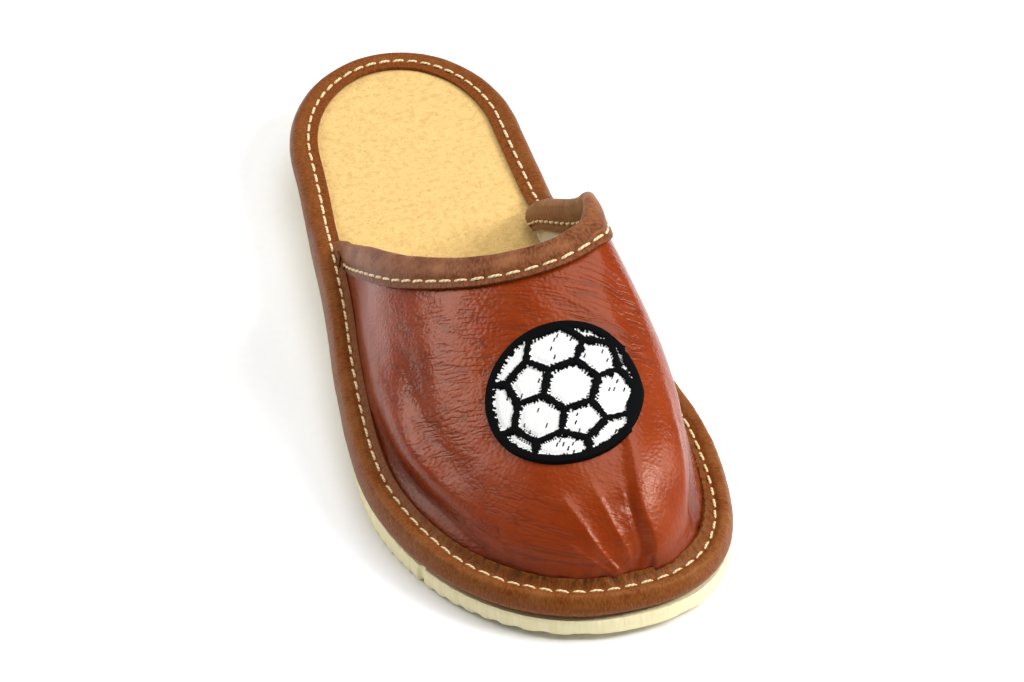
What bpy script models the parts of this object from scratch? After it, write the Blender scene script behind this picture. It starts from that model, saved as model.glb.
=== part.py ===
"""Right house slipper: a closed-toe leather mule with a bound edge on a ribbed foam sole.

Sizes are in millimetres and MM turns them into Blender's metres. A station is a distance along the
sole from the heel end. X runs from the inner (big toe) side to the outer side, Y to the toe, Z up.
"""

import math

import bmesh
import bpy
import numpy as np

MM = 0.001

# Driving sizes
LENGTH = 260.0
HEEL_ROUND = 45.0
TOE_START = 184.0
TOE_POWER = 2.3
GAP = 0.3

# Sole and insole
TOE_SPRING = 2.4
SPRING_START = 205.0
RIB_PITCH = 4.7
RIB_LAND = 1.7
RIB_SLOPE = 1.0
RIB_DEPTH = 0.9
FLEX_RIBS = (24, 46)
FLEX_DEPTH = 2.2
FLEX_SIDE_CUT = 0.8
INSOLE_EDGE_INSET = 3.2
INSOLE_STEP_INSET = 9.9
INSOLE_BORDER_LOW = 1.5
INSOLE_TOP = 4.6

# Leather walls
BINDING_WALL = 1.2
VAMP_WALL = 1.6
VAMP_FLANGE_INSET = 6.2
VAMP_FOOT_INSET = 8.8
VAMP_FOOT_ROUND = 1.5
FLANGE_TOP = INSOLE_TOP + GAP + VAMP_WALL
BINDING_LIFT = VAMP_WALL + GAP + 0.2
LIFT_RUN = 14.0
COLLAR_WIDTH = 8.5
COLLAR_WALL = 0.9
COLLAR_GAP = 0.6
COLLAR_FOOT_CLEARANCE = 1.0
MOTIF_RADIUS = 22.2
MOTIF_WALL = 0.8
MOTIF_STATION = 211.8
MOTIF_ANGLE = 71.8

# Mesh density
OUTLINE_STEPS = 50
DENSE = 8
VAMP_COLUMNS = 26
VAMP_ROWS = 24
COLLAR_COLUMNS = 40
FOLD_STEPS = 5
MOTIF_SPOKES = 28
MOTIF_RINGS = 5

# Plan over the binding: station, centre line offset to the outer side, half width, inset of the foam
SOLE_PLAN = (
    (0.0, -8.6, 33.6, 2.0),
    (45.0, -5.8, 33.8, 2.0),
    (83.0, -2.6, 36.0, 2.0),
    (112.0, -0.5, 38.0, 2.0),
    (145.0, 0.7, 42.8, 1.7),
    (184.0, 0.1, 47.8, 1.0),
    (224.0, -2.8, 47.8, 0.6),
    (260.0, -7.6, 47.8, 0.5),
)

# Side view of the sole: station, thickness of the foam
SOLE_PROFILE = (
    (0.0, 12.4),
    (60.0, 11.6),
    (120.0, 8.9),
    (175.0, 6.0),
    (208.0, 4.9),
    (260.0, 4.0),
)

# Section of the edge binding's outer skin: inset from the outline, height over the sole
BINDING_PROFILE = (
    (9.0, 0.0),
    (3.8, 0.0),
    (1.2, 0.8),
    (0.0, 3.1),
    (0.6, 5.3),
    (2.4, 6.8),
    (4.4, 6.9),
    (5.7, 6.1),
    (7.7, 6.3),
)
BINDING_WIDEST = 3.1

# Sections of the vamp: station, ridge height over the foot line, ridge offset, outer and inner fullness
VAMP_SECTIONS = (
    (60.0, 72.0, -24.0, 1.75, 2.2),
    (120.0, 66.0, -24.0, 1.75, 2.2),
    (150.0, 58.0, -24.0, 1.75, 2.2),
    (180.0, 47.5, -23.0, 1.75, 2.4),
    (205.0, 37.5, -19.5, 1.75, 2.5),
    (230.0, 28.0, -13.5, 1.85, 2.5),
    (248.0, 17.5, -9.0, 2.0, 2.3),
    (260.0, 0.0, -8.0, 2.1, 2.2),
)

# Collar line: angle round the vamp from its outer foot to its inner foot, station
COLLAR_LINE = (
    (0.0, 88.0),
    (20.0, 117.0),
    (40.0, 145.5),
    (60.0, 163.0),
    (77.0, 168.0),
    (95.0, 163.5),
    (120.0, 152.0),
    (150.0, 132.5),
    (180.0, 93.0),
)

# Finish of each piece: linear red, green, blue and roughness
FINISHES = {
    "outsole": ("foam_sole", (0.76, 0.68, 0.42), 0.75),
    "insole": ("felt_insole", (0.78, 0.57, 0.23), 0.95),
    "edge_binding": ("binding_leather", (0.26, 0.077, 0.025), 0.5),
    "vamp": ("vamp_leather", (0.30, 0.064, 0.018), 0.35),
    "collar_binding": ("collar_leather", (0.22, 0.075, 0.034), 0.6),
    "ball_embroidery": ("embroidery_thread", (0.82, 0.82, 0.80), 0.7),
}


def smooth(table, column, at, key=lambda station: station):
    """Cubic through one column of a table, read at a value of the first column's key."""
    keys = np.array([key(row[0]) for row in table])
    values = np.array([row[column] for row in table])
    slopes = np.gradient(values, keys)
    at = np.clip(np.asarray(at, float), keys[0], keys[-1])
    left = np.clip(np.searchsorted(keys, at, side="right") - 1, 0, len(keys) - 2)
    span = keys[left + 1] - keys[left]
    t = (at - keys[left]) / span
    start = (1 + 2 * t) * (1 - t) ** 2 * values[left] + t * (1 - t) ** 2 * span * slopes[left]
    end = t * t * (3 - 2 * t) * values[left + 1] + t * t * (t - 1) * span * slopes[left + 1]
    return start + end


def smoothstep(low, high, value):
    t = np.clip((value - low) / (high - low), 0.0, 1.0)
    return t * t * (3 - 2 * t)


def turn_of(station):
    """The outline's own parameter: 0 at the heel end, pi at the toe end."""
    return np.arccos(np.clip(1 - 2 * np.asarray(station, float) / LENGTH, -1, 1))


def station_of(turn):
    return LENGTH * (1 - np.cos(turn)) / 2


def raw_edge(turn, side):
    """Plan of the outline at a turn, on the outer side (1) or the inner side (-1)."""
    station = station_of(turn)
    heel = 1 - np.clip((HEEL_ROUND - station) / HEEL_ROUND, 0, 1) ** 2
    toe = 1 - np.clip((station - TOE_START) / (LENGTH - TOE_START), 0, 1) ** TOE_POWER
    rounding = np.sqrt(heel) * toe ** (1 / TOE_POWER)
    x = smooth(SOLE_PLAN, 1, station) + side * smooth(SOLE_PLAN, 2, station) * rounding
    return np.stack([x, station - LENGTH / 2], axis=-1)


def plan_middle():
    """Middle of the outline from side to side, which is put at X = 0."""
    turns = np.linspace(0, math.pi, 2000)
    return (raw_edge(turns, 1)[:, 0].max() + raw_edge(turns, -1)[:, 0].min()) / 2


PLAN_MIDDLE = plan_middle()


def edge(turn, side, inset):
    """Point of the outline moved in by an inset. Past pi the turn runs on round the toe."""
    step = 0.004
    turn = np.asarray(turn, float)
    ahead = np.minimum(turn + step, math.pi)
    behind = np.maximum(turn - step, 0.0)
    here = raw_edge(turn, side)
    along = raw_edge(ahead, side) - raw_edge(behind, side)
    at_end = (turn > math.pi - step) | (turn < step)
    along = np.where(at_end[..., None], end_tangent(turn, side), along)
    along = along / np.linalg.norm(along, axis=-1, keepdims=True)
    inward = np.stack([-along[..., 1], along[..., 0]], axis=-1) * side
    return here + np.asarray(inset, float)[..., None] * inward - np.array([PLAN_MIDDLE, 0.0])


def end_tangent(turn, side):
    """At the heel and toe ends the outline runs straight across."""
    across = np.where(turn > 1, -side, side)
    return np.stack([across.astype(float), np.zeros_like(across, dtype=float)], axis=-1)


def loop(inset):
    """The closed outline at an inset, outer side from heel to toe and then back on the inner side."""
    turns = np.linspace(0, math.pi, OUTLINE_STEPS + 1)
    outer = edge(turns, 1, inset)
    inner = edge(turns, -1, inset)[-2:0:-1]
    return np.vstack([outer, inner])


def sole_under(station):
    """Height of the rib lands: on the floor up to the ball of the foot, then rising to the toe."""
    return TOE_SPRING * np.clip((station - SPRING_START) / (LENGTH - SPRING_START), 0, 1) ** 2


def sole_top(y):
    """Height of the foam's upper face at a plan Y."""
    station = np.asarray(y) + LENGTH / 2
    return smooth(SOLE_PROFILE, 1, station) + sole_under(station)


def on_sole(plan, height):
    """Plan points raised to a height over the sole's upper face, with the gap between the two."""
    plan = np.asarray(plan, float)
    z = sole_top(plan[..., 1]) + GAP + height
    return np.concatenate([plan, z[..., None]], axis=-1)


def vamp_column(column, turn):
    return smooth(VAMP_SECTIONS, column, turn, key=turn_of)


def vamp_point(angle, turn):
    """The vamp's outer face: an arch at each turn, from the outer foot (angle 0) to the inner (pi)."""
    angle, turn = np.broadcast_arrays(np.asarray(angle, float), np.asarray(turn, float))
    foot_height = FLANGE_TOP + VAMP_FOOT_ROUND
    outer = on_sole(edge(turn, 1, VAMP_FOOT_INSET), foot_height)
    inner = on_sole(edge(turn, -1, VAMP_FOOT_INSET), foot_height)
    middle = (outer[..., 0] + inner[..., 0]) / 2
    half = np.maximum((outer[..., 0] - inner[..., 0]) / 2, 1e-6)
    share = np.clip((vamp_column(2, turn) - PLAN_MIDDLE - middle) / half, -0.72, 0.72)
    ridge = inner + (outer - inner) * ((1 + share) / 2)[..., None]
    is_outer = np.cos(angle) > 0
    power = 2 / np.where(is_outer, vamp_column(3, turn), vamp_column(4, turn))
    across = np.abs(np.cos(angle)) ** power
    point = ridge + (np.where(is_outer[..., None], outer, inner) - ridge) * across[..., None]
    point[..., 2] += vamp_column(1, turn) * np.abs(np.sin(angle)) ** power
    return point


def collar_turn(angle):
    return turn_of(smooth(COLLAR_LINE, 1, np.degrees(angle)))


def vamp_frame(angle, turn):
    """Point, outward normal and the two surface directions there."""
    step = 0.002
    by_angle = vamp_point(angle + step, turn) - vamp_point(angle - step, turn)
    by_turn = vamp_point(angle, turn + step) - vamp_point(angle, turn - step)
    normal = np.cross(by_turn, by_angle)
    normal = normal / np.linalg.norm(normal)
    return vamp_point(angle, turn), normal, by_angle / (2 * step), by_turn / (2 * step)


def walk(angle, turn, direction, distance, low=0.0, high=math.pi, steps=4):
    """Moves over the vamp's face from (angle, turn) along a direction, keeping the angle in bounds."""
    for _ in range(steps):
        _, normal, by_angle, by_turn = vamp_frame(angle, turn)
        heading = direction - normal * np.dot(direction, normal)
        heading = heading / np.linalg.norm(heading) * distance / steps
        basis = np.stack([by_angle, by_turn], axis=1)
        change = np.linalg.lstsq(basis, heading, rcond=None)[0]
        angle = min(max(angle + change[0], low), high)
        turn = turn + change[1]
    return angle, turn


def material(piece):
    name, colour, roughness = FINISHES[piece]
    made = bpy.data.materials.new(name)
    made.use_nodes = True
    shader = made.node_tree.nodes["Principled BSDF"]
    shader.inputs["Base Color"].default_value = (*colour, 1.0)
    shader.inputs["Roughness"].default_value = roughness
    shader.inputs["Metallic"].default_value = 0.0
    made.diffuse_color = (*colour, 1.0)
    return made


def add_object(name, mesh, parts):
    mesh.shade_smooth()
    mesh.set_sharp_from_angle(angle=math.radians(35))
    mesh.materials.append(material(name))
    piece = bpy.data.objects.new(name, mesh)
    parts.objects.link(piece)
    return piece


def grid_mesh(name, rows, around=False):
    """Mesh over rows of points. With around, the last column joins the first."""
    rows = np.asarray(rows)
    count, width = rows.shape[:2]
    form = bmesh.new()
    verts = [[form.verts.new(point * MM) for point in row] for row in rows]
    for i in range(count - 1):
        for j in range(width if around else width - 1):
            k = (j + 1) % width
            form.faces.new((verts[i][j], verts[i + 1][j], verts[i + 1][k], verts[i][k]))
    bmesh.ops.remove_doubles(form, verts=form.verts, dist=1e-6)
    mesh = bpy.data.meshes.new(name)
    form.to_mesh(mesh)
    form.free()
    return mesh


def thicken(piece, wall, outwards):
    """Gives an open skin its wall, on the side that its faces point to or on the other side."""
    solid = piece.modifiers.new("wall", "SOLIDIFY")
    solid.thickness = wall * MM
    solid.offset = 1.0 if outwards else -1.0
    return solid


def closed_mesh(name, rings):
    """Solid through closed rings of equal count, with strips from side to side closing both ends."""
    form = bmesh.new()
    verts = [[form.verts.new(point * MM) for point in ring] for ring in rings]
    count = len(rings[0])
    for lower, upper in zip(verts, verts[1:]):
        for j in range(count):
            k = (j + 1) % count
            form.faces.new((lower[j], lower[k], upper[k], upper[j]))
    for ring in (verts[0], verts[-1]):
        for j in range(count // 2):
            corners = dict.fromkeys((ring[j], ring[j + 1], ring[-j - 1], ring[-j]))
            form.faces.new(list(corners))
    bmesh.ops.recalc_face_normals(form, faces=form.faces)
    mesh = bpy.data.meshes.new(name)
    form.to_mesh(mesh)
    form.free()
    return mesh


def rib_stations():
    """Stations along the tread with the height of the underside there and the cut into the side."""
    rows = []
    valley = RIB_PITCH - RIB_LAND - 2 * RIB_SLOPE
    for rib in range(int(LENGTH / RIB_PITCH) + 1):
        start = rib * RIB_PITCH
        is_flex = rib in FLEX_RIBS
        depth = FLEX_DEPTH if is_flex else RIB_DEPTH
        cut = FLEX_SIDE_CUT if is_flex else 0.0
        rows.append((start, 0.0, 0.0))
        rows.append((start + RIB_LAND, 0.0, 0.0))
        rows.append((start + RIB_LAND + RIB_SLOPE, depth, cut))
        rows.append((start + RIB_LAND + RIB_SLOPE + valley, depth, cut))
    first, last = SOLE_PLAN[0][3], LENGTH - SOLE_PLAN[-1][3]
    ends = [(first + d, 0.0, 0.0) for d in (0.08, 0.5)] + [(last - d, 0.0, 0.0) for d in (0.5, 0.08)]
    inner = [row for row in rows if first + 0.9 < row[0] < last - 0.9]
    return sorted(ends + inner)


def make_outsole(parts):
    """Foam sheet, thicker at the heel, with cross ribs and two deeper flex grooves."""
    turns = np.linspace(0, math.pi, OUTLINE_STEPS * DENSE)
    inset = smooth(SOLE_PLAN, 3, station_of(turns))
    outer, inner = edge(turns, 1, inset), edge(turns, -1, inset)
    sections = []
    for station, rise, cut in rib_stations():
        y = station - LENGTH / 2
        right = np.interp(y, outer[:, 1], outer[:, 0]) - cut
        left = np.interp(y, inner[:, 1], inner[:, 0]) + cut
        low, high = float(sole_under(station)) + rise, float(sole_top(y))
        sections.append(np.array([(left, y, low), (right, y, low), (right, y, high), (left, y, high)]))
    return add_object("outsole", closed_mesh("outsole", sections), parts)


def make_insole(parts):
    """Felt-faced board. Its border is stepped up underneath, where the binding's lower lip lies."""
    rings = [
        on_sole(loop(INSOLE_STEP_INSET), 0.0),
        on_sole(loop(INSOLE_STEP_INSET), INSOLE_BORDER_LOW),
        on_sole(loop(INSOLE_EDGE_INSET), INSOLE_BORDER_LOW),
        on_sole(loop(INSOLE_EDGE_INSET), INSOLE_TOP),
    ]
    return add_object("insole", closed_mesh("insole", rings), parts)


def binding_lift(plan):
    """How far the vamp's flange lifts the binding's upper lip, at each point of the outline."""
    station = plan[:, 1] + LENGTH / 2
    corner = np.where(np.arange(len(plan)) <= OUTLINE_STEPS, COLLAR_LINE[0][1], COLLAR_LINE[-1][1])
    return BINDING_LIFT * smoothstep(corner - LIFT_RUN, corner - 2.0, station)


def make_edge_binding(parts):
    """Leather strip folded round the insole's edge, over the vamp's flange at the front."""
    lift = binding_lift(loop(0.0))
    top = BINDING_PROFILE[-1][1]
    rows = []
    for inset, height in BINDING_PROFILE:
        share = max(0.0, (height - BINDING_WIDEST) / (top - BINDING_WIDEST))
        rows.append(on_sole(loop(inset), height + lift * min(share, 1.0)))
    piece = add_object("edge_binding", grid_mesh("edge_binding", rows[::-1], around=True), parts)
    thicken(piece, BINDING_WALL, outwards=False)
    return piece


def flange_points(turn, side):
    """From the vamp's foot line down its round and out along the flange under the binding."""
    lean = math.sqrt(0.5) * VAMP_FOOT_ROUND
    round_inset = VAMP_FOOT_INSET - VAMP_FOOT_ROUND
    steps = (
        (round_inset + lean, FLANGE_TOP + VAMP_FOOT_ROUND - lean),
        (round_inset, FLANGE_TOP),
        (VAMP_FLANGE_INSET, FLANGE_TOP),
    )
    return [on_sole(edge(turn, side, inset), height) for inset, height in steps]


def make_vamp(parts):
    """One leather wall from the flange up over the foot, open at the collar and underneath."""
    rows = []
    for share in np.linspace(0, 1, VAMP_ROWS + 1):
        angles = np.linspace(0, math.pi, VAMP_COLUMNS + 1)
        starts = collar_turn(angles)
        turns = starts + (math.pi - starts) * share
        arch = [vamp_point(a, t) for a, t in zip(angles, turns)]
        outer = flange_points(turns[0], 1)[::-1]
        inner = flange_points(turns[-1], -1)
        rows.append(np.array(outer + arch + inner))
    piece = add_object("vamp", grid_mesh("vamp", rows), parts)
    thicken(piece, VAMP_WALL, outwards=False)
    return piece


def collar_bounds():
    """Angles at which the collar's strip stops, clear of the edge binding's lip."""
    limits = []
    for side_angles in (np.linspace(0, 0.6, 600), np.linspace(math.pi, math.pi - 0.6, 600)):
        for angle in side_angles:
            turn = float(collar_turn(angle))
            rise = vamp_point(angle, turn)[2] - vamp_point(side_angles[0], turn)[2]
            if rise > COLLAR_FOOT_CLEARANCE:
                limits.append(float(angle))
                break
    return limits


def collar_section(angle, low, high):
    """One section of the strip: up its outer leg, over the collar's edge and down its inner leg."""
    turn = float(collar_turn(angle))
    ahead = vamp_point(angle + 0.01, collar_turn(angle + 0.01))
    behind = vamp_point(angle - 0.01, collar_turn(angle - 0.01))
    point, normal, _, _ = vamp_frame(angle, turn)
    into_vamp = np.cross(ahead - behind, normal)
    into_vamp = into_vamp / np.linalg.norm(into_vamp)
    legs = []
    for distance in np.linspace(COLLAR_WIDTH, 0, 3):
        at = walk(angle, turn, into_vamp, distance, low, high) if distance else (angle, turn)
        legs.append(vamp_frame(*at)[:2])
    outer = [p + n * COLLAR_GAP for p, n in legs]
    inner = [p - n * (VAMP_WALL + COLLAR_GAP) for p, n in legs[::-1]]
    centre, radius = point - normal * VAMP_WALL / 2, VAMP_WALL / 2 + COLLAR_GAP
    swings = np.linspace(0, math.pi, FOLD_STEPS + 1)[1:-1]
    fold = [centre + radius * (math.cos(a) * normal - math.sin(a) * into_vamp) for a in swings]
    return np.array(outer + fold + inner)


def make_collar_binding(parts):
    """Leather strip folded over the collar's edge."""
    low, high = collar_bounds()
    rows = [collar_section(a, low, high) for a in np.linspace(low, high, COLLAR_COLUMNS + 1)]
    mesh = grid_mesh("collar_binding", rows)
    piece = add_object("collar_binding", mesh, parts)
    thicken(piece, COLLAR_WALL, outwards=True)
    return piece


def make_ball_embroidery(parts):
    """Round of close embroidery on the vamp, following its face."""
    angle, turn = math.radians(MOTIF_ANGLE), float(turn_of(MOTIF_STATION))
    _, normal, by_angle, _ = vamp_frame(angle, turn)
    across = by_angle / np.linalg.norm(by_angle)
    along = np.cross(normal, across)
    rows = []
    for ring in range(MOTIF_RINGS + 1):
        row = []
        for spoke in range(MOTIF_SPOKES):
            a = 2 * math.pi * spoke / MOTIF_SPOKES
            heading = math.cos(a) * across + math.sin(a) * along
            at = walk(angle, turn, heading, max(MOTIF_RADIUS * ring / MOTIF_RINGS, 1e-4))
            point, up = vamp_frame(*at)[:2]
            row.append(point + up * GAP)
        rows.append(np.mean(row, axis=0) + 0 * np.array(row) if ring == 0 else np.array(row))
    piece = add_object("ball_embroidery", grid_mesh("ball_embroidery", rows, around=True), parts)
    thicken(piece, MOTIF_WALL, outwards=True)
    return piece


def main():
    for old in list(bpy.data.objects):
        bpy.data.objects.remove(old)
    parts = bpy.data.collections.new("house_slipper")
    bpy.context.scene.collection.children.link(parts)
    make_outsole(parts)
    make_insole(parts)
    make_edge_binding(parts)
    make_vamp(parts)
    make_collar_binding(parts)
    make_ball_embroidery(parts)


main()
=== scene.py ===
# %% [markdown]
# # A leather house slipper
#
# The frame already holds six plain solids: the foam sole, the felt insole, the leather edge binding,
# the vamp, the strip round its collar and the embroidered ball. This lesson dresses each of them with
# a finer piece that keeps its form, and adds the stitches and the lining, which the solids leave out.
# Sizes are in millimetres, a station is the distance along the sole from the heel end, X runs to the
# outer side of this right slipper, Y to the toe and Z up.

import math
import random

import bpy
import numpy as np
from mathutils import Matrix, Vector, noise


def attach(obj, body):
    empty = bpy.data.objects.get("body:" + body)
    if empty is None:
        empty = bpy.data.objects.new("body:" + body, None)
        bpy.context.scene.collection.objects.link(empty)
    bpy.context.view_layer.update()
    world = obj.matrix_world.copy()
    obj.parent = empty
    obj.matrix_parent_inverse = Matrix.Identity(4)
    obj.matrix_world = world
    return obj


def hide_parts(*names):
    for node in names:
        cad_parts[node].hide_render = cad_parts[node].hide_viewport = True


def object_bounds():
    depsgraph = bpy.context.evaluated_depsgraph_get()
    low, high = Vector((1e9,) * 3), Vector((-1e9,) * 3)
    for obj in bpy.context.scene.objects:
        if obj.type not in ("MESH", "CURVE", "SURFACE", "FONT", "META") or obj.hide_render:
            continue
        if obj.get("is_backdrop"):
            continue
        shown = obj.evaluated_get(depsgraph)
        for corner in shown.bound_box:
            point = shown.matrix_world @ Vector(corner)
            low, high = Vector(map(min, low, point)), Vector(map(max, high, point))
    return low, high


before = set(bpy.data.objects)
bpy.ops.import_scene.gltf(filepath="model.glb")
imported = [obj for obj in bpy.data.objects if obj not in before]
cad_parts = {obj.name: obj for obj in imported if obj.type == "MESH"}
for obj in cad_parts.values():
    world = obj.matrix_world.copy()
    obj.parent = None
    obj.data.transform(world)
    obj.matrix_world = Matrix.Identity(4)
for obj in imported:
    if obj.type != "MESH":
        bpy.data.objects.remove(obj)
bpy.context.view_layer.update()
MM = 0.001
print("solids:", ", ".join(sorted(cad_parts)))

# %% [markdown]
# ## Camera
#
# The picture was taken from in front of the toe, a little to the outer side, with a long lens from well
# back, which is why the far heel looks hardly smaller than the toe. Eye, target and lens were worked out
# from the outline of the binding, so the render can be laid over the picture.

# %% Camera
EYE = Vector((417.2, 1574.3, 1232.5))
TARGET = Vector((-4.4, 25.7, 25.0))
VIEW_UP = Vector((-0.1998, -0.5665, 0.7995))
LENS = 256.5
SENSOR_WIDTH = 36.0

forward = (TARGET - EYE).normalized()
right = forward.cross(VIEW_UP).normalized()
facing = Matrix((right, right.cross(forward), -forward)).transposed()
bpy.ops.object.select_all(action="DESELECT")
bpy.ops.object.camera_add()
camera = bpy.context.active_object
camera.name = "camera"
camera.matrix_world = Matrix.Translation(EYE * MM) @ facing.to_4x4()
camera.data.lens = LENS
camera.data.sensor_fit = "HORIZONTAL"
camera.data.sensor_width = SENSOR_WIDTH
camera.data.clip_end = 20.0
bpy.context.scene.camera = camera
print("camera distance in mm:", round((TARGET - EYE).length))

# %% [markdown]
# ## The last in numbers
#
# A shoe is built round a last, so its shapes all come from a few curves: the outline of the sole, its
# thickness, and the arch of the vamp at each station. The tables are the ones that the solids were made
# from, and a cubic runs through each column, so that a finer mesh follows the same curves.

# %% Tables of the last
LENGTH = 260.0
HEEL_ROUND = 45.0
TOE_START = 184.0
TOE_POWER = 2.3
GAP = 0.3
TOE_SPRING = 2.4
SPRING_START = 205.0

# Plan over the binding: station, centre line offset to the outer side, half width, inset of the foam
SOLE_PLAN = (
    (0.0, -8.6, 33.6, 2.0),
    (45.0, -5.8, 33.8, 2.0),
    (83.0, -2.6, 36.0, 2.0),
    (112.0, -0.5, 38.0, 2.0),
    (145.0, 0.7, 42.8, 1.7),
    (184.0, 0.1, 47.8, 1.0),
    (224.0, -2.8, 47.8, 0.6),
    (260.0, -7.6, 47.8, 0.5),
)

# Side view of the sole: station, thickness of the foam
SOLE_PROFILE = (
    (0.0, 12.4),
    (60.0, 11.6),
    (120.0, 8.9),
    (175.0, 6.0),
    (208.0, 4.9),
    (260.0, 4.0),
)

# Sections of the vamp: station, ridge height over the foot line, ridge offset, outer and inner fullness
VAMP_SECTIONS = (
    (60.0, 72.0, -24.0, 1.75, 2.2),
    (120.0, 66.0, -24.0, 1.75, 2.2),
    (150.0, 58.0, -24.0, 1.75, 2.2),
    (180.0, 47.5, -23.0, 1.75, 2.4),
    (205.0, 37.5, -19.5, 1.75, 2.5),
    (230.0, 28.0, -13.5, 1.85, 2.5),
    (248.0, 17.5, -9.0, 2.0, 2.3),
    (260.0, 0.0, -8.0, 2.1, 2.2),
)

# Collar line: angle round the vamp from its outer foot to its inner foot, station
COLLAR_LINE = (
    (0.0, 88.0),
    (20.0, 117.0),
    (40.0, 145.5),
    (60.0, 163.0),
    (77.0, 168.0),
    (95.0, 163.5),
    (120.0, 152.0),
    (150.0, 132.5),
    (180.0, 93.0),
)
print("tables:", len(SOLE_PLAN), len(SOLE_PROFILE), len(VAMP_SECTIONS), len(COLLAR_LINE), "rows")


# %% Reading the tables
def smooth(table, column, at, key=lambda station: station):
    """Cubic through one column of a table, read at a value of the first column's key."""
    keys = np.array([key(row[0]) for row in table])
    values = np.array([row[column] for row in table])
    slopes = np.gradient(values, keys)
    at = np.clip(np.asarray(at, float), keys[0], keys[-1])
    left = np.clip(np.searchsorted(keys, at, side="right") - 1, 0, len(keys) - 2)
    span = keys[left + 1] - keys[left]
    t = (at - keys[left]) / span
    start = (1 + 2 * t) * (1 - t) ** 2 * values[left] + t * (1 - t) ** 2 * span * slopes[left]
    end = t * t * (3 - 2 * t) * values[left + 1] + t * t * (t - 1) * span * slopes[left + 1]
    return start + end


def smoothstep(low, high, value):
    t = np.clip((value - low) / (high - low), 0.0, 1.0)
    return t * t * (3 - 2 * t)


def bell(distance, half_width):
    """A soft hump of height 1 that fades out about two half widths away."""
    return np.exp(-((distance / half_width) ** 2))


def unit(vectors):
    return vectors / np.maximum(np.linalg.norm(vectors, axis=-1, keepdims=True), 1e-12)


def dot(a, b):
    return (a * b).sum(axis=-1)


def turn_of(station):
    """The outline's own parameter: 0 at the heel end, pi at the toe end."""
    return np.arccos(np.clip(1 - 2 * np.asarray(station, float) / LENGTH, -1, 1))


def station_of(turn):
    return LENGTH * (1 - np.cos(turn)) / 2


print("foam at the heel and the toe in mm:", smooth(SOLE_PROFILE, 1, (0, LENGTH)).round(1))


# %% Outline of the sole
def raw_edge(turn, side):
    """Plan of the outline at a turn, on the outer side (1) or the inner side (-1)."""
    station = station_of(turn)
    heel = 1 - np.clip((HEEL_ROUND - station) / HEEL_ROUND, 0, 1) ** 2
    toe = 1 - np.clip((station - TOE_START) / (LENGTH - TOE_START), 0, 1) ** TOE_POWER
    rounding = np.sqrt(heel) * toe ** (1 / TOE_POWER)
    x = smooth(SOLE_PLAN, 1, station) + side * smooth(SOLE_PLAN, 2, station) * rounding
    return np.stack([x, station - LENGTH / 2], axis=-1)


every_turn = np.linspace(0, math.pi, 2000)
PLAN_MIDDLE = (raw_edge(every_turn, 1)[:, 0].max() + raw_edge(every_turn, -1)[:, 0].min()) / 2


def edge(turn, side, inset):
    """Point of the outline moved in by an inset."""
    step = 0.004
    turn, side, inset = np.broadcast_arrays(*(np.asarray(a, float) for a in (turn, side, inset)))
    along = raw_edge(np.minimum(turn + step, math.pi), side) - raw_edge(np.maximum(turn - step, 0), side)
    straight = np.stack([np.where(turn > 1, -side, side), 0 * side], axis=-1)
    at_end = (turn > math.pi - step) | (turn < step)
    along = unit(np.where(at_end[..., None], straight, along))
    inward = np.stack([-along[..., 1], along[..., 0]], axis=-1) * side[..., None]
    return raw_edge(turn, side) + inset[..., None] * inward - np.array([PLAN_MIDDLE, 0.0])


def rim(way, inset):
    """The closed outline: way 0 is the heel, pi the toe, and it comes back on the inner side."""
    way = np.asarray(way, float) % (2 * math.pi)
    outer = way <= math.pi
    return edge(np.where(outer, way, 2 * math.pi - way), np.where(outer, 1.0, -1.0), inset)


def sole_under(station):
    return TOE_SPRING * np.clip((station - SPRING_START) / (LENGTH - SPRING_START), 0, 1) ** 2


def sole_top(y):
    station = np.asarray(y) + LENGTH / 2
    return smooth(SOLE_PROFILE, 1, station) + sole_under(station)


def on_sole(plan, height):
    """Plan points raised to a height over the sole's upper face."""
    z = sole_top(plan[..., 1]) + GAP + height
    return np.concatenate([plan, z[..., None]], axis=-1)


print("outline width in mm:", round(float(np.ptp(rim(np.linspace(0, 2 * math.pi, 800), 0.0)[:, 0])), 1))

# %% Arch of the vamp
INSOLE_TOP = 4.6
VAMP_WALL = 1.6
VAMP_FLANGE_INSET = 6.2
VAMP_FOOT_INSET = 8.8
VAMP_FOOT_ROUND = 1.5
FLANGE_TOP = INSOLE_TOP + GAP + VAMP_WALL


def vamp_column(column, turn):
    return smooth(VAMP_SECTIONS, column, turn, key=turn_of)


def vamp_point(angle, turn):
    """The vamp's outer face: an arch at each turn, from the outer foot (angle 0) to the inner (pi)."""
    angle, turn = np.broadcast_arrays(np.asarray(angle, float), np.asarray(turn, float))
    outer = on_sole(edge(turn, 1, VAMP_FOOT_INSET), FLANGE_TOP + VAMP_FOOT_ROUND)
    inner = on_sole(edge(turn, -1, VAMP_FOOT_INSET), FLANGE_TOP + VAMP_FOOT_ROUND)
    middle = (outer[..., 0] + inner[..., 0]) / 2
    half = np.maximum((outer[..., 0] - inner[..., 0]) / 2, 1e-6)
    share = np.clip((vamp_column(2, turn) - PLAN_MIDDLE - middle) / half, -0.72, 0.72)
    ridge = inner + (outer - inner) * ((1 + share) / 2)[..., None]
    is_outer = np.cos(angle) > 0
    power = 2 / np.where(is_outer, vamp_column(3, turn), vamp_column(4, turn))
    across = np.abs(np.cos(angle)) ** power
    point = ridge + (np.where(is_outer[..., None], outer, inner) - ridge) * across[..., None]
    point[..., 2] += vamp_column(1, turn) * np.abs(np.sin(angle)) ** power
    return point


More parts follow.
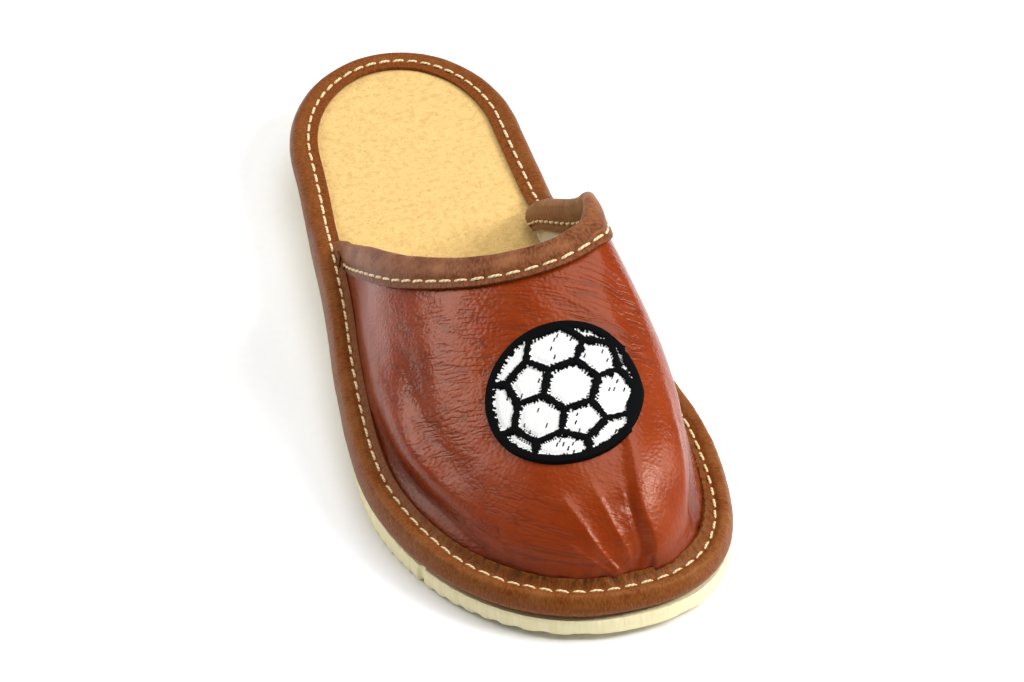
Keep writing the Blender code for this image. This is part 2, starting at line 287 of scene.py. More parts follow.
def vamp_frame(angle, turn):
    """Point, outward normal and the two surface directions there."""
    step = 0.002
    by_angle = (vamp_point(angle + step, turn) - vamp_point(angle - step, turn)) / (2 * step)
    by_turn = (vamp_point(angle, turn + step) - vamp_point(angle, turn - step)) / (2 * step)
    return vamp_point(angle, turn), unit(np.cross(by_turn, by_angle)), by_angle, by_turn


def walk(angle, turn, direction, distance, low=0.0, high=math.pi, steps=4):
    """Moves over the vamp's face from (angle, turn) along a direction, keeping the angle in bounds."""
    for _ in range(steps):
        _, normal, a, t = vamp_frame(angle, turn)
        heading = unit(direction - normal * dot(direction, normal)[..., None])
        heading = heading * (np.asarray(distance) / steps)[..., None]
        det = dot(a, a) * dot(t, t) - dot(a, t) ** 2
        angle = angle + (dot(heading, a) * dot(t, t) - dot(heading, t) * dot(a, t)) / det
        angle = np.clip(angle, low, high)
        turn = turn + (dot(heading, t) * dot(a, a) - dot(heading, a) * dot(a, t)) / det
    return angle, turn


def collar_turn(angle):
    return turn_of(smooth(COLLAR_LINE, 1, np.degrees(angle)))


print("collar top in mm:", vamp_point(math.pi / 2, collar_turn(math.pi / 2)).round(1))

# %% [markdown]
# ## Making a sheet by hand and by formula
#
# Most pieces of a slipper are sheets: leather, felt, lining. In Blender a sheet starts as a grid
# primitive, and here each vertex of the grid is then put at its place on the last. The operators that
# follow are the ones used by hand: select all, merge the points that meet at a seam or a tip, turn the
# faces outwards, give the sheet a wall with Solidify and apply it.


# %% Sheet helpers
def edit_all(piece):
    """Selects one piece alone and opens all of its mesh for editing."""
    bpy.ops.object.select_all(action="DESELECT")
    piece.select_set(True)
    bpy.context.view_layer.objects.active = piece
    bpy.ops.object.mode_set(mode="EDIT")
    bpy.ops.mesh.select_all(action="SELECT")


class Sheet:
    """A grid primitive shaped by rows of points, with a value for each vertex on request."""

    def __init__(self, name, points):
        rows, columns = points.shape[:2]
        bpy.ops.object.select_all(action="DESELECT")
        bpy.ops.mesh.primitive_grid_add(x_subdivisions=columns - 1, y_subdivisions=rows - 1, size=2.0)
        self.piece = bpy.context.active_object
        self.piece.name = name
        self.piece.data.name = name
        flat = np.empty(len(self.piece.data.vertices) * 3)
        self.piece.data.vertices.foreach_get("co", flat)
        flat = flat.reshape(-1, 3)
        self.column = np.rint((flat[:, 0] + 1) / 2 * (columns - 1)).astype(int)
        self.row = np.rint((flat[:, 1] + 1) / 2 * (rows - 1)).astype(int)
        self.piece.data.vertices.foreach_set("co", (self.pick(points) * MM).ravel())

    def pick(self, values):
        return values[self.row, self.column]

    def store(self, name, values):
        """Keeps a number per vertex, which a material can read by its name."""
        made = self.piece.data.attributes.new(name, "FLOAT", "POINT")
        made.data.foreach_set("value", self.pick(values).astype(np.float32))

    def unwrap(self, across, along):
        """Fills the UV map with distances over the surface, in metres."""
        layer = self.piece.data.uv_layers[0]
        corners = np.empty(len(self.piece.data.loops), np.int32)
        self.piece.data.loops.foreach_get("vertex_index", corners)
        uv = np.stack([self.pick(across), self.pick(along)], axis=-1)[corners] * MM
        layer.data.foreach_set("uv", uv.ravel())

    def close(self, flip=False):
        edit_all(self.piece)
        bpy.ops.mesh.remove_doubles(threshold=2e-6)
        bpy.ops.mesh.dissolve_degenerate(threshold=1e-7)
        if flip:
            bpy.ops.mesh.select_all(action="SELECT")
            bpy.ops.mesh.flip_normals()
        bpy.ops.object.mode_set(mode="OBJECT")

    def thicken(self, wall):
        """Gives the sheet a wall on its inner side."""
        solid = self.piece.modifiers.new("wall", "SOLIDIFY")
        solid.thickness = wall * MM
        solid.offset = -1.0
        bpy.ops.object.modifier_apply(modifier=solid.name)

    def shade(self, angle=50.0):
        bpy.ops.object.shade_smooth_by_angle(angle=math.radians(angle))


def grid_normals(points):
    """Unit normals of rows of points, towards columns cross rows."""
    return unit(np.cross(np.gradient(points, axis=1), np.gradient(points, axis=0)))


def noise_at(points, scale):
    """Blender's own noise at points in mm, with features of about the given size in mm."""
    scaled = np.asarray(points) / np.asarray(scale, float)
    values = [noise.noise(Vector(p)) for p in scaled.reshape(-1, 3)]
    return np.array(values).reshape(scaled.shape[:-1])


print("sheet helpers ready")

# %% [markdown]
# ## Colours and nodes
#
# Colours are picked as the hex values that a paint program shows, which are sRGB, and Cycles needs them
# linear, so one function turns them. One more small function adds a node, sets it and links it.

# %% Material helpers
# A colour Mix has several sockets of one name, so its share, its two colours and its result go by number
MIX_SHARE = 0
MIX_FROM = 6
MIX_TO = 7
MIXED = 2


def linear(hex_colour):
    """A hex colour as sRGB shows it, turned to the linear red, green, blue and alpha of a shader."""
    channels = [int(hex_colour[i : i + 2], 16) / 255 for i in (1, 3, 5)]
    return (*[c / 12.92 if c <= 0.04045 else ((c + 0.055) / 1.055) ** 2.4 for c in channels], 1.0)


def new_material(name, **sockets):
    made = bpy.data.materials.new(name)
    made.use_nodes = True
    shader = made.node_tree.nodes["Principled BSDF"]
    for socket, value in sockets.items():
        shader.inputs[socket.replace("_", " ")].default_value = value
    return made, shader


def add_node(made, kind, inputs, **settings):
    """Adds a node, such as a Mix, sets its properties and fills its inputs with values or links."""
    node = made.node_tree.nodes.new("ShaderNode" + kind)
    for name, value in settings.items():
        setattr(node, name, value)
    for name, value in inputs.items():
        if isinstance(value, bpy.types.NodeSocket):
            made.node_tree.links.new(value, node.inputs[name])
        else:
            node.inputs[name].default_value = value
    return node


def link(made, socket, target):
    made.node_tree.links.new(socket, target)


def per_mm(size):
    """Scale of a texture on metres whose feature measures this many millimetres."""
    return 1.0 / (size * MM)


def seat(piece, finish, node=None):
    """Gives a finished piece its material, hangs it on the root body and hides the solid that it replaces.
    """
    piece.data.materials.clear()
    piece.data.materials.append(finish)
    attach(piece, "root")
    if node:
        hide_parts(node)
    triangles = sum(len(face.vertices) - 2 for face in piece.data.polygons)
    print(piece.name, triangles, "triangles")


print("middle grey in linear light:", round(linear("#808080")[0], 3))

# %% [markdown]
# ## Chestnut leather of the vamp
#
# The vamp is thin cow leather with a smooth, aniline-dyed and lightly waxed face: a deep red brown, with
# painted shade that makes it darker in the hollows and along the foot, and a fine pebble of about a
# millimetre. Where the leather was pulled over the last it shows close, fine wrinkles, whose lines are also
# painted darker as shade in their creases. The large folds are real geometry. The pebble and the fine
# wrinkles are bump, because they are too small for the mesh, and they follow the surface by its UV map.

# %% Dye and painted shade of the vamp leather
VAMP_DEEP = "#832b00"
VAMP_BODY = "#8a3203"
# Painted shade: the colour laid in the troughs and along the foot, where shade falls
VAMP_PAINTED_SHADE = "#531600"
# Painted shade: the colour of the fine wrinkle lines' creases
VAMP_CREASE_SHADE = "#320c00"
vamp_leather, shader = new_material("vamp_aniline_cow_leather", IOR=1.45, Specular_Tint=linear("#ffdcc8"))
place = add_node(vamp_leather, "TexCoord", {}).outputs["Object"]
surface = add_node(vamp_leather, "UVMap", {}, uv_map="UVMap").outputs["UV"]
wrinkle = add_node(vamp_leather, "Attribute", {}, attribute_name="wrinkle").outputs["Fac"]
pleat = add_node(vamp_leather, "Attribute", {}, attribute_name="pleat").outputs["Fac"]
# Painted shade per vertex, stored by the vamp piece for the troughs and the foot
hollow_painted_shade = add_node(vamp_leather, "Attribute", {}, attribute_name="hollow_painted_shade").outputs["Fac"]

# Cloudy patches about 14 mm across, and painted shade that darkens the troughs and the foot
cloud = add_node(vamp_leather, "TexNoise", {"Vector": place, "Scale": per_mm(14.0), "Detail": 5.0})
cloudy = add_node(
    vamp_leather, "MapRange", {"Value": cloud.outputs["Fac"], "From Min": 0.35, "From Max": 0.68}
)
dye = add_node(
    vamp_leather,
    "Mix",
    {MIX_SHARE: cloudy.outputs[0], MIX_FROM: linear(VAMP_DEEP), MIX_TO: linear(VAMP_BODY)},
    data_type="RGBA",
)
shaded = add_node(
    vamp_leather,
    "Mix",
    {MIX_SHARE: hollow_painted_shade, MIX_FROM: dye.outputs[MIXED], MIX_TO: linear(VAMP_PAINTED_SHADE)},
    data_type="RGBA",
)
print(vamp_leather.name, "dye from", VAMP_DEEP, "to", VAMP_BODY)

# %% Fine wrinkles of the vamp leather
# Thin lines, painted dark as crease shade, 1.7 mm apart and about 13 mm long round the foot, or net-like
# and 2.4 mm wide at the rim.
# A Voronoi's cell borders give them, bent by a 5 mm wobble and broken up by a 6 mm patchiness.
wobble = add_node(vamp_leather, "TexNoise", {"Vector": surface, "Scale": per_mm(5.0), "Detail": 3.0})
bent = add_node(
    vamp_leather,
    "VectorMath",
    {0: wobble.outputs["Color"], 1: (0.002, 0.002, 0.0), 2: surface},
    operation="MULTIPLY_ADD",
)
round_foot = add_node(vamp_leather, "Mapping", {"Vector": bent.outputs[0], "Scale": (0.13, 1.0, 1.0)})
long_cells = add_node(
    vamp_leather,
    "TexVoronoi",
    {"Vector": round_foot.outputs[0], "Scale": per_mm(1.7)},
    feature="DISTANCE_TO_EDGE",
)
net_cells = add_node(
    vamp_leather,
    "TexVoronoi",
    {"Vector": bent.outputs[0], "Scale": per_mm(2.4)},
    feature="DISTANCE_TO_EDGE",
)
patchy = add_node(vamp_leather, "TexNoise", {"Vector": surface, "Scale": per_mm(6.0), "Detail": 2.0})
broken = add_node(
    vamp_leather, "MapRange", {"Value": patchy.outputs["Fac"], "From Min": 0.38, "From Max": 0.56}
)
soft = {"interpolation_type": "SMOOTHSTEP"}
long_line = add_node(
    vamp_leather, "MapRange", {"Value": long_cells.outputs[0], "From Min": 0.20, "From Max": 0.0}, **soft
)
net_line = add_node(
    vamp_leather, "MapRange", {"Value": net_cells.outputs[0], "From Min": 0.16, "From Max": 0.0}, **soft
)
long_part = add_node(vamp_leather, "Math", {0: long_line.outputs[0], 1: wrinkle}, operation="MULTIPLY")
net_part = add_node(vamp_leather, "Math", {0: net_line.outputs[0], 1: pleat}, operation="MULTIPLY")
either = add_node(
    vamp_leather, "Math", {0: long_part.outputs[0], 1: net_part.outputs[0]}, operation="MAXIMUM"
)
lines = add_node(vamp_leather, "Math", {0: either.outputs[0], 1: broken.outputs[0]}, operation="MULTIPLY")
# The lines are also painted darker: painted shade in the creases
painted_crease_shade = add_node(vamp_leather, "Math", {0: lines.outputs[0], 1: 0.35}, operation="MULTIPLY")
lined = add_node(
    vamp_leather,
    "Mix",
    {MIX_SHARE: painted_crease_shade.outputs[0], MIX_FROM: shaded.outputs[MIXED], MIX_TO: linear(VAMP_CREASE_SHADE)},
    data_type="RGBA",
)
link(vamp_leather, lined.outputs[MIXED], shader.inputs["Base Color"])
print("wrinkles added")

# %% Grain and gloss of the vamp leather
# Pebble of about 1 mm over a softer 2.5 mm unevenness
pebble = add_node(vamp_leather, "TexVoronoi", {"Vector": place, "Scale": per_mm(1.0)}, feature="SMOOTH_F1")
uneven_face = add_node(vamp_leather, "TexNoise", {"Vector": place, "Scale": per_mm(2.5), "Detail": 4.0})
soft_bump = add_node(
    vamp_leather, "Bump", {"Strength": 0.14, "Distance": 0.0004, "Height": uneven_face.outputs["Fac"]}
)
line_bump = add_node(
    vamp_leather,
    "Bump",
    {"Strength": 0.5, "Distance": 0.00013, "Height": lines.outputs[0], "Normal": soft_bump.outputs[0]},
    invert=True,
)
grain = add_node(
    vamp_leather,
    "Bump",
    {
        "Strength": 0.34,
        "Distance": 0.0003,
        "Height": pebble.outputs["Distance"],
        "Normal": line_bump.outputs[0],
    },
)
link(vamp_leather, grain.outputs[0], shader.inputs["Normal"])
# Polished on the crown and duller where it is creased at the rim
polish = add_node(vamp_leather, "MapRange", {"Value": cloud.outputs["Fac"], "To Min": 0.22, "To Max": 0.31})
gloss = add_node(vamp_leather, "Math", {0: pleat, 1: 0.16, 2: polish.outputs[0]}, operation="MULTIPLY_ADD")
link(vamp_leather, gloss.outputs[0], shader.inputs["Roughness"])
print(vamp_leather.name, len(vamp_leather.node_tree.nodes), "nodes")

# %% [markdown]
# ## Vamp
#
# The vamp is one piece of leather, pulled over the toe of the last and caught under the edge binding.
# It could be sculpted, but a grid laid over the arch keeps the true shape and lets each main crease be
# placed one by one. A crease is a short line on the surface, given by angle and step, with a height,
# plus for a ridge or minus for a trough, and a half width on either side. A soft one is a bell, and a
# crisp one, such as a pleat at the toe, comes to an edge. They sum to a push along the normal.

# %% Creases of the vamp
# Name, height, half width on the outer and the inner side, power (2 is soft, 1 is crisp), then the points
# of its line as angle round the vamp and station
CREASES = (
    ("shoulder trough", -1.0, 4.0, 6.0, 2.0,
        ((29, 146), (28, 165), (28, 185), (28, 204), (29, 222), (30, 238))),
    ("shoulder ridge", 1.4, 5.5, 5.0, 2.0,
        ((6, 108), (9, 131), (13, 161), (17, 181), (19, 197), (21, 213), (23, 230))),
    ("rim trough", -1.4, 4.0, 4.0, 2.0, ((3, 160), (6, 178), (9, 194), (12, 210), (14, 226), (15, 240))),
    ("rim fold 1", -0.5, 1.6, 2.4, 1.5, ((2, 170), (4, 193), (8, 215))),
    ("rim fold 2", -0.5, 1.6, 2.4, 1.5, ((6, 186), (9, 208), (13, 229))),
    ("rim fold 3", -0.5, 1.6, 2.2, 1.5, ((8, 204), (9, 224), (9, 242))),
    ("rim fold 4", -0.5, 1.6, 2.2, 1.5, ((8, 229), (5, 241), (6, 251))),
    ("toe pleat 1", 0.9, 3.0, 1.2, 1.1, ((60, 240), (62, 244), (64, 249), (64, 254), (61, 259.5))),
    ("toe pleat 2", 0.7, 2.6, 1.0, 1.1, ((76, 239), (78, 244), (81, 249), (85, 254), (93, 259))),
    ("toe pleat 3", 0.6, 2.2, 0.9, 1.1, ((88, 240), (91, 245), (94, 250), (98, 255), (105, 258.7))),
    ("toe pleat 4", 0.4, 1.6, 0.8, 1.2, ((44, 251), (46, 254), (46, 257), (44, 259.5))),
    ("deep valley", -0.9, 3.0, 1.6, 1.9, ((92, 243), (96, 249), (101, 254), (112, 258.5))),
    ("inner ridge", 1.8, 2.2, 9.0, 1.8,
        ((92, 220), (96, 233), (100, 243), (105, 249), (113, 253), (136, 258))),
    ("wall edge", 0.8, 6.0, 2.0, 1.6, ((124, 206), (130, 222), (136, 235), (142, 243), (151, 250))),
    ("wall hollow", -3.0, 2.8, 7.0, 2.0, ((150, 190), (154, 208), (157, 226), (162, 239), (169, 248))),
    ("inner fold 1", -0.5, 2.4, 2.4, 2.0, ((94, 178), (99, 188), (108, 202))),
    ("inner fold 2", -0.4, 2.2, 2.2, 2.0, ((103, 178), (110, 190), (116, 206))),
)
CREASE_POINTS = 48
# Shares of a crease's length between which it fades in and out. One that ends past this station stays
FADE_IN = (-0.05, 0.35)
FADE_OUT = (1.05, 0.65)
CREASE_END = 254.0
# A crisp crease crinkles from side to side
CRISP_POWER = 1.3
CRINKLE = 0.35
CRINKLE_SIZE = 2.6


def crease_line(points):
    """Points in space along one crease, the direction to its inner side, and its strength along the way."""
    table = [(i, math.radians(angle), float(turn_of(station))) for i, (angle, station) in enumerate(points)]
    at = np.linspace(0, len(points) - 1, CREASE_POINTS)
    spots, normals, _, _ = vamp_frame(smooth(table, 1, at), smooth(table, 2, at))
    inward = unit(np.cross(normals, np.gradient(spots, axis=0)))
    share = np.linspace(0, 1, CREASE_POINTS)
    strength = smoothstep(*FADE_IN, share)
    if points[-1][1] < CREASE_END:
        strength = strength * smoothstep(*FADE_OUT, share)
    return spots, inward, strength


def crease_push(points, wanted):
    """How far the ridges (wanted 1) or the troughs (-1) move each point along its normal, in mm."""
    push = np.zeros(points.shape[:-1])
    for _, height, outer_width, inner_width, power, line in CREASES:
        if wanted * height <= 0:
            continue
        spots, inward, strength = crease_line(line)
        away = np.stack([np.linalg.norm(points - spot, axis=-1) for spot in spots])
        nearest = away.argmin(axis=0)
        side = smoothstep(-1.0, 1.0, dot(points - spots[nearest], inward[nearest]))
        width = outer_width + (inner_width - outer_width) * side
        off = away.min(axis=0)
        if power < CRISP_POWER:
            off = np.abs(off + CRINKLE * noise_at(points, CRINKLE_SIZE))
        push += height * strength[nearest] * np.exp(-((off / width) ** power))
    return push


print(len(CREASES), "creases")

# %% Shape of the vamp
VAMP_COLUMNS = 168
VAMP_ROWS = 210
FOOT_COLUMNS = 7
RIDGE_SOFTENING = 8


def foot_line(turn, side):
    """From the flange under the binding, up its round to the vamp's foot line."""
    swing = np.linspace(0, math.pi / 2, FOOT_COLUMNS - 1)
    inset = VAMP_FOOT_INSET - VAMP_FOOT_ROUND + VAMP_FOOT_ROUND * np.sin(swing)
    height = FLANGE_TOP + VAMP_FOOT_ROUND * (1 - np.cos(swing))
    inset = np.concatenate([[VAMP_FLANGE_INSET], inset])[:-1]
    height = np.concatenate([[FLANGE_TOP], height])[:-1]
    return on_sole(edge(turn[:, None], side, inset[None, :]), height[None, :])


def vamp_grid(columns, rows):
    """Rows of points from the collar to the toe, with their angles and turns."""
    angles = np.linspace(0, math.pi, columns + 1)
    starts = collar_turn(angles)
    share = np.linspace(0, 1, rows + 1)[:, None]
    turns = starts + (math.pi - starts) * share
    arch = vamp_point(np.broadcast_to(angles, turns.shape), turns)
    for _ in range(RIDGE_SOFTENING):
        arch[:, 1:-1] = (arch[:, :-2] + 2 * arch[:, 1:-1] + arch[:, 2:]) / 4
    outer = foot_line(turns[:, 0], 1)
    inner = foot_line(turns[:, -1], -1)[:, ::-1]
    points = np.concatenate([outer, arch, inner], axis=1)
    padding = ((0, 0), (FOOT_COLUMNS - 1, FOOT_COLUMNS - 1))
    return points, np.pad(angles + 0 * turns, padding, mode="edge"), np.pad(turns, padding, mode="edge")


points, angles, turns = vamp_grid(VAMP_COLUMNS, VAMP_ROWS)
stations = station_of(turns)
print("vamp grid", points.shape[:2], "top in mm", points[..., 2].max().round(1))

# %% Fold the vamp
# Heights over the flange, and shares of the way to the toe, between which folds grow to their full depth
FOLD_HEIGHTS = (0.3, 3.0)
FOLD_ROWS = (-0.01, 0.05)
normals = -grid_normals(points)
normals[-1] = normals[-2]
troughs = crease_push(points, -1)
ridges = crease_push(points, 1)
above_foot = points[..., 2] - on_sole(points[..., :2], FLANGE_TOP)[..., 2]
to_toe = np.linspace(0, 1, VAMP_ROWS + 1)[:, None]
free = smoothstep(*FOLD_HEIGHTS, above_foot) * smoothstep(*FOLD_ROWS, to_toe)
print("creases in mm from", troughs.min().round(2), "to", ridges.max().round(2))

# %% Ease the vamp over the toe
# Soft unevenness of pulled leather, its bulge over the binding, and the gathers where the toe is eased.
# Each has a depth and a size in mm, and starts between two heights over the flange.
UNEVEN = 0.35
UNEVEN_SIZE = 17.0
DIMPLES = 0.10
DIMPLE_SIZE = 5.0
FOOT_BULGE = 0.9
BULGE_HEIGHT = 2.4
BULGE_WIDTH = 2.2
BULGE_START = (0.2, 1.6)
GATHERS = 0.4
GATHERS_PER_RADIAN = 16.0
GATHER_RUN = 14.0
GATHER_HEIGHT = 2.5
GATHER_WIDTH = 7.0
GATHER_START = (0.2, 2.0)
GATHER_STATIONS = (222, 246)
TOE_CENTRE = (-6.0, 60.0)
uneven = UNEVEN * noise_at(points, UNEVEN_SIZE) + DIMPLES * noise_at(points, DIMPLE_SIZE)
toe_way = np.arctan2(points[..., 0] - TOE_CENTRE[0], points[..., 1] - TOE_CENTRE[1])
gather_place = np.stack([toe_way * GATHERS_PER_RADIAN, 0 * toe_way, above_foot / GATHER_RUN], axis=-1)
near_toe = smoothstep(*GATHER_STATIONS, stations) * bell(above_foot - GATHER_HEIGHT, GATHER_WIDTH)
bulge = FOOT_BULGE * bell(above_foot - BULGE_HEIGHT, BULGE_WIDTH) * smoothstep(*BULGE_START, above_foot)
push = (troughs + ridges + uneven) * free + bulge
push = push + GATHERS * noise_at(gather_place, 1.0) * near_toe * smoothstep(*GATHER_START, above_foot)
folded = points + normals * push[..., None]
print("push in mm from", push.min().round(2), "to", push.max().round(2))

# %% Wrinkles, pleats and painted shade of the vamp
# Fine wrinkles are strongest in two zones of the crown, each given by its angle, station and half width.
# They fade on the inner wall and at the toe's outer rim, where a net of pleats takes over.
WRINKLE_ZONES = ((38, 186, 30.0), (104, 192, 18.0))
WRINKLE_ALL_OVER = 0.35
WRINKLE_LESS_AT_TOE = 0.25
WRINKLE_CALM = 0.8
OUTER_PLEATS = 0.7
TOE_PLEATS = 0.35
# Painted shade grows with a trough's depth, by one per 3.5 mm, adds up to 0.5 along the foot and stops at
# 0.7
HOLLOW_DEPTH = 3.5
FOOT_SHADE = 0.5
PAINTED_SHADE_MOST = 0.7
degrees = np.degrees(angles)
wrinkled = WRINKLE_ALL_OVER - WRINKLE_LESS_AT_TOE * smoothstep(205, 232, stations)
for angle, station, half_width in WRINKLE_ZONES:
    zone = vamp_point(math.radians(angle), turn_of(station))
    wrinkled = wrinkled + bell(np.linalg.norm(points - zone, axis=-1), half_width)
outer_rim = OUTER_PLEATS * smoothstep(26, 6, degrees)
toe_rim = smoothstep(205, 235, stations) * smoothstep(62, 40, degrees)
inner_wall = smoothstep(112, 132, degrees)
wrinkled = np.clip(wrinkled, 0, 1) * (1 - WRINKLE_CALM * toe_rim) * (1 - WRINKLE_CALM * inner_wall)
pleated = np.clip(toe_rim + outer_rim + TOE_PLEATS * smoothstep(225, 245, stations), 0, 1)
painted_shade_amount = -troughs / HOLLOW_DEPTH + FOOT_SHADE * smoothstep(9.0, 1.0, above_foot)
painted_shade_amount = np.clip(painted_shade_amount, 0, PAINTED_SHADE_MOST)
print("mean strength of the wrinkles:", wrinkled.mean().round(2))

# %% Vamp piece
# On the outer side the fine wrinkles run towards the toe as they climb to the ridge
WRINKLE_SLANT = 0.6
LEATHER_WALL = 0.9
steps = np.linalg.norm(np.diff(points, axis=1), axis=-1)
across = np.cumsum(np.concatenate([np.zeros((len(points), 1)), steps], axis=1), axis=1)
ridge = across[np.arange(len(across)), points[..., 2].argmax(axis=1)][:, None]

vamp = Sheet("vamp_upper", folded)
vamp.store("wrinkle", wrinkled)
vamp.store("pleat", pleated)
vamp.store("hollow_painted_shade", painted_shade_amount)
vamp.unwrap(across, stations + WRINKLE_SLANT * np.maximum(ridge - across, 0))
vamp.close(flip=True)
vamp.thicken(LEATHER_WALL)
vamp.shade()
seat(vamp.piece, vamp_leather, "vamp")

# %% [markdown]
# ## Lining
#
# Inside the vamp is a thin pale textile, which shows in the mouth of the slipper. It could be a copy of the
# vamp, but a coarser sheet is enough: every second point of the folded vamp, moved inwards by a little more
# than the leather, so that it never comes through. It starts a few rows in, under the collar strip.

# %% Lining cloth
lining_cloth, shader = new_material("lining_brushed_cotton", Roughness=0.95, Sheen_Weight=0.2)
place = add_node(lining_cloth, "TexCoord", {}).outputs["Object"]
# Brushed nap, drawn at 0.7 mm so that it shows
nap = add_node(lining_cloth, "TexNoise", {"Vector": place, "Scale": per_mm(0.7), "Detail": 3.0})
tone = add_node(
    lining_cloth,
    "Mix",
    {MIX_SHARE: nap.outputs["Fac"], MIX_FROM: linear("#b5aa8d"), MIX_TO: linear("#ded6c0")},
    data_type="RGBA",
)
link(lining_cloth, tone.outputs[MIXED], shader.inputs["Base Color"])
fuzz = add_node(lining_cloth, "Bump", {"Strength": 0.5, "Distance": 0.0004, "Height": nap.outputs["Fac"]})
link(lining_cloth, fuzz.outputs[0], shader.inputs["Normal"])
print(lining_cloth.name, len(lining_cloth.node_tree.nodes), "nodes")

# %% Lining piece
LINING_INSET = 1.05
LINING_WALL = 0.45
LINING_STEP = 2
LINING_START = 6
rows = np.arange(LINING_START, folded.shape[0], LINING_STEP)
columns = np.arange(0, folded.shape[1], LINING_STEP)
inside = (folded - normals * LINING_INSET)[np.ix_(rows, columns)]
lining = Sheet("vamp_lining", inside)
lining.close(flip=True)
lining.thicken(LINING_WALL)
lining.shade()
seat(lining.piece, lining_cloth)

# %% [markdown]
# ## Brown leather of the bindings
#
# The strips are firmer side leather with a pigmented, satin face: a flatter, yellower brown than the
# vamp, with a fine even grain and short creases that the fold draws out across the strip. The creases
# follow a UV map on which the strip lies flat. The collar's strip is rubbed paler on its roll, so it gets
# its own mix of the same nodes.


# %% Binding leathers
# Painted shade of the strips, laid where the fold attribute says: in the binding's pleats and on its lip in
# front
STRIP_PAINTED_SHADE = "#3c2413"


def strip_leather(name, deep, body, rubbed, roughness):
    """Pigmented leather: body colour with darker fine creases and pale rubbing, painted shade where its
    fold attribute says, and a 0.8 mm grain.
    """
    made, shader = new_material(name, Roughness=roughness, IOR=1.33, Specular_Tint=linear("#ffc9a0"))
    coordinates = add_node(made, "TexCoord", {})
    place = coordinates.outputs["Object"]
    # The fold draws the creases out across the strip
    crosswise = add_node(made, "Mapping", {"Vector": coordinates.outputs["UV"], "Scale": (0.45, 1.0, 1.0)})
    cloud = add_node(made, "TexNoise", {"Vector": place, "Scale": per_mm(7.0), "Detail": 5.0})
    speck = add_node(
        made, "TexNoise", {"Vector": crosswise.outputs[0], "Scale": per_mm(0.6), "Detail": 2.0}
    )
    high = add_node(made, "Attribute", {}, attribute_name="rub").outputs["Fac"]
    folded = add_node(made, "Attribute", {}, attribute_name="fold").outputs["Fac"]
    pores = add_node(made, "MapRange", {"Value": speck.outputs["Fac"], "From Min": 0.40, "From Max": 0.62})
    body_tone = add_node(
        made,
        "Mix",
        {MIX_SHARE: pores.outputs[0], MIX_FROM: linear(deep), MIX_TO: linear(body)},
        data_type="RGBA",
    )
    patch = add_node(made, "MapRange", {"Value": cloud.outputs["Fac"], "From Min": 0.35, "From Max": 0.75})
    rub = add_node(made, "Math", {0: patch.outputs[0], 1: high}, operation="MULTIPLY")
    worn = add_node(
        made,
        "Mix",
        {MIX_SHARE: rub.outputs[0], MIX_FROM: body_tone.outputs[MIXED], MIX_TO: linear(rubbed)},
        data_type="RGBA",
    )
    # Painted shade where the fold attribute says
    shaded = add_node(
        made,
        "Mix",
        {MIX_SHARE: folded, MIX_FROM: worn.outputs[MIXED], MIX_TO: linear(STRIP_PAINTED_SHADE)},
        data_type="RGBA",
    )
    link(made, shaded.outputs[MIXED], shader.inputs["Base Color"])
    cells = add_node(made, "TexVoronoi", {"Vector": place, "Scale": per_mm(0.8)}, feature="SMOOTH_F1")
    creases = add_node(made, "Bump", {"Strength": 0.35, "Distance": 0.0005, "Height": speck.outputs["Fac"]})
    grain = add_node(
        made,
        "Bump",
        {
            "Strength": 0.25,
            "Distance": 0.0003,
            "Height": cells.outputs["Distance"],
            "Normal": creases.outputs[0],
        },
    )
    link(made, grain.outputs[0], shader.inputs["Normal"])
    print(name, len(made.node_tree.nodes), "nodes")
    return made


def laid_flat(strip):
    """Distances across and along a strip, as if it lay flat on the bench, in mm."""
    over = np.cumsum(np.linalg.norm(np.diff(strip, axis=1), axis=-1), axis=1)
    across = np.concatenate([np.zeros((len(strip), 1)), over], axis=1)
    middle = strip[:, strip.shape[1] // 2]
    on = np.cumsum(np.linalg.norm(np.diff(middle, axis=0), axis=-1))
    along = np.concatenate([[0.0], on])
    return across, np.broadcast_to(along[:, None], across.shape)


binding_leather = strip_leather("binding_side_leather", "#65320f", "#7f4418", "#8c5a2d", 0.42)
collar_leather = strip_leather("collar_side_leather", "#582d17", "#7e482b", "#9a6543", 0.45)

# %% [markdown]
# ## Edge binding
#
# A leather strip is folded round the edge of the insole and sewn through. Its section is a soft roll, a
# shallow groove where the thread pulls it down, and a lip that lies on the felt at the back and turns up
# against the vamp in front. It is a section run round the outline, which a curve with a bevel could give
# too, but the lip changes along the way, so a grid is the better start. At the toe the strip has more
# length than the edge needs and puckers into small radial pleats.

# %% Section of the edge binding
# Inset from the outline and height over the sole, from under the insole to the lip
BINDING_SECTION = (
    (9.0, 0.7),
    (6.4, 0.7),
    (3.8, 0.7),
    (2.2, 0.9),
    (1.0, 1.6),
    (0.2, 2.7),
    (0.0, 3.8),
    (0.4, 5.1),
    (1.3, 6.2),
    (2.6, 6.8),
    (3.9, 6.7),
    (5.0, 6.2),
    (5.7, 6.0),
    (6.6, 6.2),
    (7.7, 6.3),
)
BINDING_COLUMNS = 44
BINDING_ROWS = 600
BINDING_WIDEST = 3.8
BINDING_TOP_SIDE = 5.0
LIP_END, LIP_TOP = BINDING_SECTION[-1]
STITCH_INSET = 5.5
CORNER_OUTER = COLLAR_LINE[0][1]
CORNER_INNER = COLLAR_LINE[-1][1]
BINDING_LIFT = VAMP_WALL + GAP + 0.2
LIFT_RUN = 14.0
LIFT_END = 2.0
FRONT_START = 10.0
FRONT_END = 12.0
FRONT_LIP_RISE = 1.0
TOE_LIP_RISE = 2.2
TOE_LIFT_LESS = 0.9
TOE_SEAM_SHIFT = 0.7
TOE_SEAM_WIDTH = 2.5
